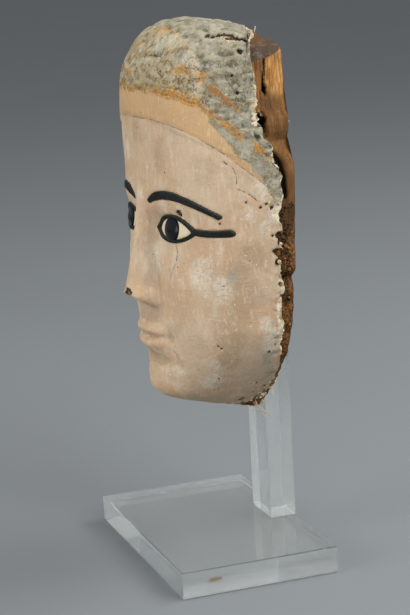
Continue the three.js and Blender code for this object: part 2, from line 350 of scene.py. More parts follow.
def bezier(handles, t):
    a, b, c, d = (np.array(p, float) for p in handles)
    t = np.asarray(t)[:, None]
    return a * (1 - t) ** 3 + 3 * b * t * (1 - t) ** 2 + 3 * c * t**2 * (1 - t) + d * t**3


def off_piece(x, z, start, end):
    """The distance to a straight piece of a line, and the share of it where it is nearest."""
    (ax, az), (bx, bz) = start, end
    ux, uz = bx - ax, bz - az
    share = np.clip(((x - ax) * ux + (z - az) * uz) / (ux * ux + uz * uz), 0, 1)
    return np.hypot(x - ax - share * ux, z - az - share * uz), share


def strip_field(x, z, handles, widths):
    """A strip along a curve, with widths spread evenly along it."""
    pieces = 40
    shares = np.linspace(0, 1, pieces + 1)
    line = bezier(handles, shares)
    half = np.interp(shares, np.linspace(0, 1, len(widths)), widths) / 2
    best = np.full(np.shape(x), 1e9)
    for k in range(pieces):
        off, share = off_piece(x, z, line[k], line[k + 1])
        width = half[k] + share * (half[k + 1] - half[k])
        end = (k == 0) * (share == 0) + (k == pieces - 1) * (share == 1)
        best = np.minimum(best, off - np.where(end, width * 0.35, width))
    return best


def lid(share):
    """How high a lid arches at a share of the eye's half length."""
    return (1 - share**2) ** 0.8


def lens_field(x, z, grow):
    """The opening of the eye between its lids, grown by some millimetres."""
    t = np.linspace(-1, 1, 49)
    half = EYE_HALF + 1.6 * grow
    along = EYE_PLACE[0] + t * half
    upper = np.stack([along, EYE_PLACE[1] + (UPPER_LID + grow) * lid(t)], axis=-1)
    lower = np.stack([along, EYE_PLACE[1] - (LOWER_LID + grow) * lid(t)], axis=-1)
    outline = np.concatenate([upper, lower[::-1][1:]])
    best = np.full(np.shape(x), 1e9)
    for start, end in zip(outline[:-1], outline[1:]):
        best = np.minimum(best, off_piece(x, z, start, end)[0])
    lids = lid(np.clip((x - EYE_PLACE[0]) / half, -1, 1))
    up = z - EYE_PLACE[1]
    inside = (up < (UPPER_LID + grow) * lids) & (up > -(LOWER_LID + grow) * lids)
    return np.where(inside, -best, best)


def brow_field(x, z):
    return strip_field(x, z, BROW, BROW_WIDTHS)


def rim_outer_field(x, z):
    return np.minimum(
        lens_field(x, z, RIM_WIDTH), strip_field(x, z, COSMETIC_LINE, COSMETIC_WIDTHS)
    )


def rim_field(x, z):
    return np.maximum(rim_outer_field(x, z), -lens_field(x, z, INLAY_GAP))


def pupil_field(x, z):
    round_field = np.hypot(x - EYE_PLACE[0], z - EYE_PLACE[1] - 1) - PUPIL_RADIUS
    return np.maximum(round_field, lens_field(x, z, 0))


def white_field(x, z):
    return np.maximum(lens_field(x, z, 0), -(pupil_field(x, z) - INLAY_GAP))


# Where the plaster stops and how it is worn, in the mask's frame

LEFT_EDGE = [
    (23, -9, 12), (34, -7, 20), (45, -6, 31), (58, -9, 42), (68, -12, 52), (76, -14, 62),
    (85, -17, 79), (88, -17, 94), (90, -17, 109), (92, -19, 123), (93, -22, 132), (94, -18, 138),
    (94, -22, 145), (95, -18, 152), (95, -19, 160), (96, -20, 168), (97, -18, 177), (97, -19, 189),
    (97, -21, 197), (98, -22, 202), (97, -23, 208), (96, -25, 213), (95, -28, 218), (94, -29, 222),
    (92, -31, 230), (90, -30, 238), (89, -28, 246), (88, -28, 253), (86, -30, 262), (84, -32, 269),
    (80, -30, 281),
]
TOP_EDGE = [
    (-79, -6, 280), (-65, -3, 287), (-50, -5, 291), (-25, -6, 295), (0, -7, 296), (24, -8, 295),
    (45, -11, 293), (56, -15, 292), (64, -20, 290), (73, -26, 287), (80, -30, 281),
]
RIGHT_EDGE = [
    (-23, -10, 14), (-38, -6, 26), (-56, -4, 42), (-73, -3, 62), (-84, -5, 82), (-88, -3, 105),
    (-92, -6, 130), (-95, -2, 155), (-97, -3, 185), (-97, -1, 205), (-94, -4, 228), (-87, -4, 255),
    (-79, -6, 280),
]
BOTTOM_EDGE = [(-23, -10, 14), (-12, -16, 8), (0, -18, 7), (12, -16, 8), (23, -11, 14)]

# How high lines on the head-cloth run, for how far forward they are
BAND_LINE = [(-90, 254), (-83, 253), (-75, 249), (-66, 243), (-52, 228), (-38, 214), (-10, 190)]
DARK_LINE = [(-90, 233), (-82, 230), (-74, 225), (-58, 212), (-43, 198), (-30, 186), (-10, 168)]
UPPER_STRIPE = [(-90, 262), (-80, 271), (-70, 268), (-58, 263), (-45, 252), (-30, 238)]
STREAK = [(72, -57, 254), (79, -50, 246), (85, -42, 238)]
CREST_STRIPE = [(-16, -75, 284), (-8, -73, 287)]
GREY_START = [(160, -10), (172, -23), (178, -26), (191, -32), (200, -37), (206, -46), (230, -60)]

BARE_SPOTS = [  # places where the plaster is lost, each with its radius
    (50, -47, 288, 1.8), (53, -45, 288, 2.0), (55, -41, 289, 2.2), (58, -39, 289, 3.4),
    (61, -37, 288, 4.6), (64, -36, 286, 3.8), (67, -34, 287, 2.4), (70, -31, 286, 2.0),
    (73, -29, 286, 2.2), (75, -36, 279, 1.5), (77, -35, 278, 2.2),
    (93, -20, 149, 2.6), (94, -18, 145, 2.6), (92, -21, 136, 3.2), (91, -20, 130, 2.2),
    (90, -19, 113, 1.8), (88, -18, 104, 1.6), (-58, -50, 276, 3.5), (-64, -40, 279, 2.5),
    (-88, -30, 110, 3.0), (-90, -24, 140, 2.5), (-20, -70, 284, 2.0), (-10, -60, 292, 1.6),
]
FACE_BARE_SPOTS = [(1, 101, 6.5), (47, 165, 1.7), (-30, 60, 1.8), (-24, 214, 1.6)]
PALE_PATCHES = [  # chalky places, each with its reach, as in the lists that follow
    (83, -28, 84, 7), (82, -26, 76, 7), (79, -26, 69, 7), (76, -24, 65, 5),
    (17, -84, 131, 10), (62, -65, 120, 13), (71, -56, 111, 11), (44, -54, 40, 8), (52, -55, 51, 7),
    (4, -90, 178, 7), (-40, -78, 120, 12), (-66, -58, 92, 9), (-22, -80, 205, 9), (30, -78, 42, 8),
    (38, -55, 35, 8), (88, -40, 165, 5), (95, -24, 164, 7), (93, -32, 181, 8), (92, -29, 155, 6),
    (21, -71, 286, 8), (30, -66, 288, 9), (53, -64, 276, 8), (59, -62, 271, 7), (66, -45, 279, 9),
    (75, -38, 276, 7), (80, -33, 275, 5), (64, -64, 255, 5), (71, -61, 238, 6), (79, -52, 237, 5),
    (-40, -60, 280, 10), (-62, -52, 266, 9), (-82, -38, 226, 9), (0, -50, 297, 14),
]
BLUE_PATCHES = [
    (82, -46, 237, 5), (86, -40, 232, 7), (90, -40, 213, 7), (92, -34, 198, 7), (83, -24, 84, 4),
    (72, -24, 58, 6), (67, -22, 52, 5), (57, -14, 41, 5), (-84, -40, 222, 10), (-86, -20, 84, 9),
    (46, -68, 279, 7), (-50, -66, 262, 9), (25, -73, 284, 6), (76, -49, 121, 6),
]
OCHRE_PATCHES = [
    (-25, -78, 276, 5), (0, -64, 294, 5), (12, -61, 294, 7), (25, -57, 294, 7),
    (36, -52, 293, 6), (51, -69, 269, 5), (63, -62, 263, 4), (67, -59, 260, 4), (-6, -84, 268, 4),
    (47, -76, 253, 5), (55, -72, 249, 5), (62, -67, 246, 4), (84, -35, 255, 5), (-30, -76, 266, 6),
    (-46, -72, 258, 5), (-66, -56, 250, 6), (-76, -46, 240, 5),
]
OLIVE_PATCHES = [
    (45, -67, 279, 7), (38, -72, 276, 6), (59, -58, 277, 5), (69, -53, 267, 6), (20, -80, 268, 7),
    (30, -80, 258, 8), (84, -38, 246, 7), (80, -42, 262, 7), (-20, -80, 262, 8), (-50, -62, 276, 8),
    (93, -32, 208, 8), (95, -26, 190, 7), (69, -52, 269, 6), (76, -47, 262, 7), (81, -42, 255, 7),
    (85, -37, 248, 6),
]
SPECK_PATCHES = [
    (12, -78, 280, 7), (26, -76, 279, 8), (36, -74, 277, 7), (45, -70, 275, 6), (56, -65, 271, 8),
    (64, -59, 268, 8), (70, -52, 270, 6), (76, -42, 269, 8), (82, -34, 270, 6), (79, -44, 257, 8),
    (83, -41, 248, 9), (85, -34, 260, 8), (42, -76, 265, 7), (51, -72, 261, 9), (71, -60, 244, 6),
    (59, -67, 259, 8), (34, -78, 268, 7), (92, -36, 204, 8), (93, -30, 190, 8), (85, -47, 178, 4),
    (87, -43, 166, 4), (92, -33, 172, 5), (-36, -74, 266, 12), (-64, -58, 252, 11), (-80, -44, 234, 9),
]
STAINED_PATCHES = [
    (80, -46, 118, 17), (86, -38, 135, 12), (76, -46, 98, 16), (70, -50, 76, 17), (60, -50, 56, 16),
    (30, -86, 206, 14), (-50, -72, 110, 18), (-74, -48, 84, 16), (-30, -82, 70, 14), (0, -90, 222, 12),
]
POCKS = [  # small black holes, each with its radius
    (88, -42, 174, 0.8), (92, -33, 170, 1.0), (93, -29, 172, 1.2), (95, -26, 169, 1.3),
    (93, -25, 149, 0.9), (75, -57, 159, 0.8), (61, -57, 68, 0.9), (62, -55, 66, 0.8),
    (44, -50, 39, 0.9), (74, -23, 61, 1.0), (83, -42, 250, 1.2), (66, -59, 256, 1.5),
    (79, -44, 262, 1.0), (-60, -66, 120, 0.9), (-70, -50, 140, 1.0), (-40, -74, 52, 0.9),
]
FLAKING = [  # places where chips of the ground show beside the edge
    (86, -18, 88, 13), (84, -18, 75, 9), (90, -19, 112, 8), (95, -24, 162, 8), (94, -28, 176, 9),
    (90, -33, 236, 8), (87, -32, 256, 6), (60, -20, 291, 8), (40, -8, 28, 8), (-80, -8, 76, 12),
    (-96, -6, 160, 10), (-88, -8, 250, 9), (-30, -10, 294, 10),
]
CRACKS = [
    [(82, -53, 203), (85, -49, 199), (86, -47, 194), (86, -47, 187)],
    [(87, -45, 183), (89, -42, 181), (90, -39, 179), (92, -33, 173)],
    [(12, -78, 281), (26, -76, 280), (34, -74, 278), (40, -72, 276)],
    [(55, -65, 271), (63, -60, 268), (69, -54, 265)],
    [(80, -41, 259), (83, -40, 253), (85, -38, 247), (87, -37, 241)],
    [(74, -44, 269), (79, -38, 269), (83, -33, 270)],
    [(77, -48, 262), (80, -45, 255), (83, -42, 247)],
    [(49, -50, 287), (40, -56, 288), (32, -62, 286)],
    [(92, -34, 222), (94, -31, 214), (96, -28, 206)],
    [(-86, -40, 200), (-90, -34, 186), (-92, -26, 170), (-91, -20, 150)],
    [(-60, -60, 250), (-70, -50, 236), (-80, -42, 222)],
    [(-30, -74, 272), (-46, -66, 270), (-58, -56, 268)],
]
FACE_CRACKS = [
    [(42, 142), (44, 133), (40, 124), (38, 118)],
    [(28, 62), (31, 56), (32, 48)],
    [(-46, 140), (-50, 122), (-47, 104)],
    [(-14, 236), (-20, 214), (-17, 196)],
]
PATCHES = {
    "pale": PALE_PATCHES, "blue": BLUE_PATCHES, "ochre": OCHRE_PATCHES, "olive": OLIVE_PATCHES,
    "speck": SPECK_PATCHES, "stained": STAINED_PATCHES, "flaking": FLAKING,
}
LINES = {"band": BAND_LINE, "dark_line": DARK_LINE, "upper_stripe": UPPER_STRIPE}


def reach_of(points, spots):
    """1 inside any of some places, falling to 0 at their radius."""
    value = np.zeros(len(points))
    for px, py, pz, radius in spots:
        away = np.linalg.norm((points - [px, py, pz]) * [1, 1, 0.75], axis=1)
        value = np.maximum(value, 1.2 - away / radius)
    return np.clip(value, 0, 1)


def off_spots(points, spots):
    """The distance to the nearest of some round places, below 0 inside it."""
    away = [np.linalg.norm(points - [px, py, pz], axis=1) - radius for px, py, pz, radius in spots]
    return np.minimum.reduce(away)


def wear_fields(points, edge, sizes):
    """The wear of the plaster as named values at points of its surface."""
    y, z = points[:, 1], points[:, 2]
    thickness = sizes.plaster_thickness / MM
    fields = {"edge": edge}
    for name, line in LINES.items():
        fields[name] = z - table(line, y)
    fields["streak"] = line_distance(points, STREAK)[0] - 2.7
    fields["crest"] = line_distance(points, CREST_STRIPE)[0] - 2.6
    fields["grey"] = ease(-4, 4, y - table(GREY_START, z)) * ease(155, 172, z)
    face_spots = [(a, face_depth(a, b, thickness, sizes), b, r) for a, b, r in FACE_BARE_SPOTS]
    bare = off_spots(points, BARE_SPOTS + face_spots)
    bare = bare + 1.5 * noise(points, 4.0, 5) + 0.8 * noise(points, 2.0, 6)
    fields["bare"] = np.clip(bare, -9, 9)
    for name, spots in PATCHES.items():
        fields[name] = reach_of(points, spots)
    fields["pock"] = np.minimum(9, off_spots(points, POCKS))
    nearest = np.full(len(points), 99.0)
    side = np.ones(len(points))
    wavy = points + 1.3 * np.stack([noise(points, 5, k) for k in (11, 12, 13)], axis=-1)
    face_cracks = [[(a, face_depth(a, b, thickness, sizes), b) for a, b in line] for line in FACE_CRACKS]
    for line in CRACKS + face_cracks:
        distance, turned = line_distance(wavy, line)
        closer = distance < nearest
        nearest[closer], side[closer] = distance[closer], turned[closer]
    fields["crack"] = np.clip(nearest * side, -9, 9)
    fields["crack_near"] = mound(nearest, 2.2)
    return fields


def hollows(grid, normals, reach):
    """How deep each point of a grid lies below its surroundings."""
    rows, columns = np.indices(grid.shape[:2])
    around_it = np.zeros_like(grid)
    for dr, dc in ((-1, 0), (1, 0), (0, -1), (0, 1), (-1, -1), (1, 1), (-1, 1), (1, -1)):
        r = np.clip(rows + dr * reach, 0, grid.shape[0] - 1)
        c = np.clip(columns + dc * reach, 0, grid.shape[1] - 1)
        around_it += grid[r, c] / 8
    return np.einsum("ijk,ijk->ij", around_it - grid, normals)


def pocket_depth(points):
    """How far the plaster is cut away for the brows and eyes."""
    x, y, z = points.T
    depth = np.zeros(len(points))
    near = (z > 135) & (z < 190) & (y < -25)
    side, height = np.abs(x[near]), z[near]
    field = np.minimum(brow_field(side, height), rim_outer_field(side, height))
    depth[near] = 2.4 * ease(0.7, -0.9, field)
    return depth


def wear_relief(points, fields):
    """How far the worn surface of the plaster is from the sound one, below 0 inwards."""
    cloth = ease(-1.5, 1.5, fields["band"])
    relief = 0.35 * noise(points, 24, 21) + 0.12 * noise(points, 9, 22)
    relief += 0.07 * noise(stretched(points, 2.2, 26), 1.0, 23) * (1 - cloth)
    layers = noise(points * [0.35, 0.35, 1.0] + 0.4 * noise(points, 20, 25)[:, None], 2.6, 28)
    lumps = 0.65 * rough(points, 8, 3, 24) + 0.75 * np.minimum(0, noise(points, 3.6, 26) + 0.25)
    lumps += 0.6 * layers - 0.6 * fields["speck"] * np.abs(noise(points, 3.0, 30))
    relief += cloth * lumps
    relief += 0.12 * rough(points, 4.5, 2, 27)
    relief += 0.35 * fields["grey"] * rough(points, 5, 2, 29)
    flakes = ease(0.15, 0.3, noise(points, 7, 31) + 0.4 * noise(points, 3, 32))
    worn = np.maximum(cloth * 0.8, ease(16, 4, fields["edge"]))
    relief -= 0.65 * flakes * worn
    chipped = ease(0.1, 0.35, noise(points, 4, 34) + 0.3 * noise(points, 2, 35))
    relief -= 0.6 * chipped * np.minimum(1, fields["flaking"] * 1.5) * ease(9, 4, fields["edge"])
    relief -= ease(0.6, -0.8, fields["bare"]) * (2.9 + 1.2 * noise(points, 4, 36))
    relief -= 1.2 * ease(0.5, -0.5, fields["pock"])
    relief -= 0.5 * mound(fields["crack"], 0.9) * fields["crack_near"]
    lift = ease(6, 0, fields["edge"])
    relief += lift * (0.5 * noise(points, 9, 33) + 0.45 * noise(points, 3, 34) - 0.2)
    relief -= 0.55 * mound(fields["dark_line"], 0.9) * ease(-8, -18, points[:, 1])
    return relief


# Meshes


def surface_normals(grid):
    """Outward directions at the points of a grid of rows and columns."""
    down_rows = np.gradient(grid, axis=0)
    along_row = np.gradient(grid, axis=1)
    normal = np.cross(along_row, down_rows)
    return normal / np.maximum(1e-9, np.linalg.norm(normal, axis=-1, keepdims=True))


def grid_faces(index, outward=True):
    """The four-sided faces between the rows and columns of a grid of point numbers."""
    corners = [index[:-1, :-1], index[:-1, 1:], index[1:, 1:], index[1:, :-1]]
    if not outward:
        corners.reverse()
    return np.stack([c.ravel() for c in corners], axis=-1)


def around(index):
    """The border of a grid, once round it."""
    return np.concatenate([index[0, :-1], index[:-1, -1], index[-1, :0:-1], index[:0:-1, 0]])


def new_piece(name, points, faces, material, attributes=None, sharp=40):
    """A mesh object with named values at its points, smooth up to the sharp angle in degrees."""
    mesh = bpy.data.meshes.new(name)
    mesh.from_pydata(np.asarray(points).tolist(), [], [list(map(int, f)) for f in faces])
    for key, values in (attributes or {}).items():
        layer = mesh.attributes.new(key, "FLOAT", "POINT")
        layer.data.foreach_set("value", np.asarray(values, np.float32))
    mesh.materials.append(material)
    mesh.shade_smooth()
    mesh.set_sharp_from_angle(angle=radians(sharp))
    mesh.update()
    piece = bpy.data.objects.new(name, mesh)
    bpy.context.scene.collection.objects.link(piece)
    return piece


def finish_piece(piece, node):
    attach(piece, "root")
    if node:
        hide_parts(node)


def ragged(line, count, amount, seed, axis):
    """An edge's places on the grid, with small breaks added across (axis 0) or upwards (1)."""
    reach = (ACROSS_REACH, 1.0)
    places = evenly(grid_place(line), count)
    at = np.concatenate([places * reach, np.zeros((count, 1))], axis=-1)
    shake = 0.9 * noise(at, 9, seed) + noise(at, 4, seed + 1) + 0.5 * noise(at, 2.2, seed + 2)
    ends = np.minimum(np.arange(count), np.arange(count)[::-1])
    places[:, axis] += shake * amount * np.minimum(1, ends / 6) / reach[axis]
    return places


def broken_edge(outer_ring, inner_ring):
    """Two uneven lines of points round the plaster, between its outside and its inside."""
    middle = np.array([0.0, -20.0, 150.0])
    walls = []
    for k, share in enumerate((0.3, 0.65)):
        line = outer_ring + (inner_ring - outer_ring) * share
        push = 0.9 * noise(line, 2.6, 51 + k) + 0.6 * noise(line, 6.0, 53 + k) - 0.5
        inward = middle - line
        inward /= np.linalg.norm(inward, axis=1)[:, None]
        walls.append(line - inward * (push * 0.9)[:, None])
    return walls


def plaster_mesh(sizes):
    """The plaster's points, faces and named values. Its inside has a third of the rows and columns."""
    rows, columns = sizes.plaster_rows * 3 + 1, sizes.plaster_columns * 3 + 1
    left = ragged(LEFT_EDGE, rows, 1.5, 41, 0)
    right = ragged(RIGHT_EDGE, rows, 1.6, 42, 0)
    top = ragged(TOP_EDGE, columns, 1.5, 43, 1)
    bottom = ragged(BOTTOM_EDGE, columns, 1.3, 44, 1)
    tie_corners(right, left, bottom, top)
    across, upward = np.moveaxis(patch(right, left, bottom, top), -1, 0)
    outer = surface(across, upward, sizes.plaster_thickness / MM, sizes)
    sides = (outer[:, :1], outer[:, -1:], outer[:1], outer[-1:])
    edge = np.minimum.reduce([np.linalg.norm(outer - side, axis=-1) for side in sides])
    flat = outer.reshape(-1, 3)
    fields = wear_fields(flat, edge.ravel(), sizes)
    relief = wear_relief(flat, fields) - pocket_depth(flat)
    normals = surface_normals(outer)
    # How deep each point lies below its surroundings, for the painted shade in the hollows
    deep = hollows(outer, normals, 5) + 0.35 * hollows(outer, normals, 11)
    fields["hollow"] = np.clip(0.5 + 0.35 * deep, 0, 1).ravel()
    outer = outer + normals * relief.reshape(rows, columns, 1)
    fields["pit"] = np.clip(hollows(outer, normals, 2), -1, 1).ravel()
    outer = outer.reshape(-1, 3)
    inside = surface(across, upward, INNER_GAP, sizes)
    inner = inside[::3, ::3]

    outer_index = np.arange(rows * columns).reshape(rows, columns)
    ring = around(outer_index)
    walls = broken_edge(outer[ring], inside.reshape(-1, 3)[ring])
    points = np.concatenate([outer, *walls, inner.reshape(-1, 3)])
    wall_a = len(outer) + np.arange(len(ring))
    wall_b = wall_a + len(ring)
    inner_index = wall_b[-1] + 1 + np.arange(inner[..., 0].size).reshape(inner.shape[:2])
    inner_ring = around(inner_index)
    faces = [grid_faces(outer_index), grid_faces(inner_index, False)]
    for upper, lower in ((ring, wall_a), (wall_a, wall_b)):
        faces.append(np.stack([np.roll(upper, -1), upper, lower, np.roll(lower, -1)], axis=-1))
    first, second, third = wall_b.reshape(-1, 3).T
    next_first, next_inner = np.roll(first, -1), np.roll(inner_ring, -1)
    for corners in (
        (second, first, inner_ring),
        (third, second, inner_ring),
        (next_first, third, next_inner),
        (third, inner_ring, next_inner),
    ):
        faces.append(np.stack(corners, axis=-1))

    extra = len(points) - len(outer)
    rim = np.tile(ring, 2)
    attributes = {}
    for key, values in fields.items():
        attributes[key] = np.concatenate([values, np.full(extra, values.mean())])
        attributes[key][len(outer):len(outer) + len(rim)] = values[rim]
    attributes["edge"][len(outer):] = -2.0
    return points, [face for part in faces for face in part], attributes


def back_outline(sizes, rows, columns):
    """The four sides of the wood's surface, where the sawn back cuts it."""

    def in_front(across, upward):
        return behind_back(surface(across, upward, 0.0, sizes), sizes) <= 0

    def solve_across(upward, side):
        start, end = np.zeros_like(upward), np.full_like(upward, side * pi / 2)
        near, _ = narrowed(start, end, 22, lambda across: in_front(across, upward))
        return np.stack([near, upward], axis=-1)

    def solve_upward(end_right, end_left, start, end):
        across = end_right + np.linspace(0, 1, columns) * (end_left - end_right)
        near, far = np.full_like(across, start), np.full_like(across, end)
        near, _ = narrowed(near, far, 22, lambda upward: in_front(across, upward))
        return np.stack([across, near], axis=-1)

    low, high = -radians(38) * UNDER_REACH, LEVEL_ROWS + radians(58) * TOP_REACH
    upward = np.linspace(low, high, rows)
    left, right = solve_across(upward, 1), solve_across(upward, -1)
    limit = pi / 2 - 0.01
    top = solve_upward(right[-1, 0], left[-1, 0], LEVEL_ROWS, LEVEL_ROWS + limit * TOP_REACH)
    bottom = solve_upward(right[0, 0], left[0, 0], 0.0, -limit * UNDER_REACH)
    tie_corners(right, left, bottom, top)
    return right, left, bottom, top


# Half the width of the sawn back on its left, for the height
NEAR_OUTLINE = [
    (10, 14), (19, 26), (25, 33), (33, 45.5), (40, 52.5), (49, 62), (59, 71.5), (72, 78), (84, 84),
    (106, 88.5), (114, 87.5), (117, 85.5), (121, 91), (124, 94), (139, 94), (157, 96.5),
    (175, 98.8), (193, 100.4), (202, 98.5), (209, 91), (215, 88), (221, 92), (226, 93), (231, 93),
    (237, 90), (245, 88), (261, 87), (278, 85.5),
]
SAWN_WIDENING = 1.004  # of the half width, as the back cuts the turned form at a slant
# Drying cracks of the sawn back: places across and up it, from the top down
BACK_CRACKS = [
    [(-52, 268), (-50, 210), (-54, 160)], [(24, 282), (22, 240), (25, 205)],
    [(58, 200), (60, 150), (56, 100)], [(-26, 120), (-24, 80), (-27, 40)], [(40, 110), (38, 60)],
]
FACET_LINE = [(-34, 268), (-29, 270), (-22, 271), (-16, 273), (-9, 277), (-3, 281)]
# The gap behind the lifted plaster: dug into the wood and coloured near black as painted shadow
GAP_LINE = [(94, -22, 208), (94, -19, 201), (94, -17, 192), (94, -16, 183), (93, -15, 175)]
WOOD_HOLES = [  # each with its radius and depth
    (89, -28, 230, 4.6, 9.0), (91, -26, 224, 3.0, 3.4), (92, -25, 219, 2.2, 2.4),
    (86, -22, 251, 2.2, 4.0), (34, -7, 23, 3.2, 5.0), (92, -12, 128, 2.6, 3.5),
    (90, -13, 110, 2.2, 3.0), (93, -18, 150, 2.4, 4.0), (92, -19, 138, 2.4, 4.0),
]
WORM_EATEN = [
    (92, -17, 152, 7), (90, -19, 140, 8), (89, -18, 131, 7), (88, -17, 122, 7),
    (87, -16, 112, 6), (86, -15, 102, 6), (92, -14, 165, 7),
]
DARK_WOOD = [(98, -12, 182, 14), (96, -12, 170, 16), (94, -13, 158, 11), (88, -20, 240, 9)]
GAP_WIDTHS = [(174, 1.0), (184, 2.2), (200, 2.5), (209, 1.6)]
WOOD_CRACK = [(84, -21, 271), (85, -22, 261), (86, -23, 252), (86, -22, 246)]


def wood_relief(points, sizes):
    """How far the broken and weathered wood is from its form, with its named values."""
    x, y, z = points.T
    along = points.copy()
    along[:, 1] += 0.25 * (z - 150) * ease(255, 225, z)
    grain = noise(stretched(along, 1.7, 42), 1.0, 61) + 0.6 * noise(stretched(along, 0.9, 26), 1.0, 62)
    broad = noise(stretched(along, 6, 60), 1.0, 63)
    low = ease(175, 140, z)
    pores = np.minimum(0, rough(points * [1, 1, 0.6], 3.4, 2, 64) + 0.15)
    facet = z - table(FACET_LINE, y) + 0.9 * noise(points, 5, 65)
    fresh = ease(1, -1, facet) * ease(205, 235, z)
    crumbly = rough(points, 4.5, 2, 68) + 0.6 * noise(points, 2.2, 69)
    relief = 0.35 * grain + 0.6 * broad + low * (1.6 * pores + 0.8 * crumbly)
    relief += 0.9 * mound(facet, 2.5) * ease(-34, -28, y)
    gap = mound(line_distance(points, GAP_LINE)[0], table(GAP_WIDTHS, z)) * ease(0, 1, x)
    crack = mound(line_distance(points + 0.5 * grain[:, None], WOOD_CRACK)[0], 1.1)
    holes = np.zeros(len(points))
    for hx, hy, hz, radius, depth in WOOD_HOLES:
        away = np.linalg.norm((points - [hx, hy, hz]) * [1, 1, 0.7], axis=1)
        away = away + 0.6 * noise(points, 2.4, 67)
        holes = np.maximum(holes, depth * ease(radius, radius * 0.45, away))
    relief = relief - 5.5 * gap - 3.5 * crack - holes
    # Painted shadow: the gap behind the lifted plaster and the deep holes are coloured near black, and
    # the crack with them
    dark = np.clip(gap * 1.1 + crack + holes / 5.0, 0, 1)
    fields = {
        "facet": facet, "fresh": fresh, "low": low, "dark": dark,
        "light": ease(-25, -18, y) * ease(236, 262, z),
        "back": ease(-1.0, -0.15, behind_back(points, sizes)), "crumb": np.clip(crumbly, -1, 1),
        "wormy": reach_of(points, WORM_EATEN), "umber": reach_of(points, DARK_WOOD),
    }
    return relief, fields


def sawn_back(front, sizes):
    """The points inside the back's outline, with tool marks, and how cracked each one is."""
    back = patch(front[:, 0], front[:, -1], front[0], front[-1])[1:-1, 1:-1].reshape(-1, 3)
    across = back[:, 0] * cos(sizes.turn) - back[:, 1] * sin(sizes.turn)
    at = np.stack([across, np.zeros(len(back)), back[:, 2]], axis=-1)
    tool = np.abs(noise(at * [1, 1, 0.35], 16, 72)) + 0.35 * np.abs(noise(at, 6, 73))
    wavy = at + 1.2 * noise(stretched(at, 5, 18), 1.0, 74)[:, None] * [1, 0, 0]
    cracks = np.zeros(len(at))
    for line in BACK_CRACKS:
        middle = line_distance(wavy, [(x, 0, z) for x, z in line])[0]
        top, foot = line[0][1], line[-1][1]
        ends = ease(top, top - 25, at[:, 2]) * ease(foot, foot + 25, at[:, 2])
        cracks = np.maximum(cracks, mound(middle, 1.1) * ends)
    depth = 0.1 + 0.9 * tool + 0.3 * np.abs(noise(stretched(at, 1.4, 30), 1.0, 75)) + 2.5 * cracks
    return set_on_back(back, depth, sizes), cracks


def wood_mesh(sizes):
    """The block's points, faces and named values: its carved front and its sawn back."""
    rows, columns = sizes.wood_rows + 1, sizes.wood_columns + 1
    places = patch(*back_outline(sizes, rows, columns))
    front = surface(places[..., 0], places[..., 1], 0.0, sizes)
    flat = front.reshape(-1, 3)
    relief, attributes = wood_relief(flat, sizes)
    before = -behind_back(flat, sizes)
    relief = relief * ease(0.5, 3.5, before + 2.2)
    plain = SAWN_WIDENING * sizes.half_width / MM * width_share(flat[:, 2])
    reach = table(NEAR_OUTLINE, flat[:, 2]) - plain
    outward = reach * ease(26, 4, before) * ease(20, 60, flat[:, 0]) * ease(282, 262, flat[:, 2])
    front = front + surface_normals(front) * relief.reshape(rows, columns, 1)
    front[..., 0] += outward.reshape(rows, columns)
    index = np.arange(rows * columns).reshape(rows, columns)
    ring = around(index)
    rim = front.reshape(-1, 3)
    rim[ring] = set_on_back(rim[ring], 0.15 + 0.4 * np.abs(noise(rim[ring], 5, 71)), sizes)
    back, cracks = sawn_back(front, sizes)
    inside = index.copy()
    inside[1:-1, 1:-1] = rows * columns + np.arange(len(back)).reshape(rows - 2, columns - 2)
    faces = np.concatenate([grid_faces(index), grid_faces(inside, False)])
    attributes = {k: np.concatenate([v, np.zeros(len(back))]) for k, v in attributes.items()}
    attributes["back"][rows * columns:] = 1.0
    attributes["dark"][rows * columns:] = cracks
    attributes["back"][ring] = 1.0
    return np.concatenate([rim, back]), faces, attributes


# Nodes


def feed(tree, socket, value):
    """Links an input to a node's output, or sets it to a plain value."""
    if isinstance(value, bpy.types.NodeSocket):
        tree.links.new(value, socket)
    else:
        socket.default_value = value


def add_node(tree, kind, inputs=None, **settings):
    """Adds a node with its settings, feeds its inputs and gives back its outputs."""
    node = tree.nodes.new(kind)
    for name, value in settings.items():
        setattr(node, name, value)
    for name, value in (inputs or {}).items():
        feed(tree, node.inputs[name], value)
    return node.outputs


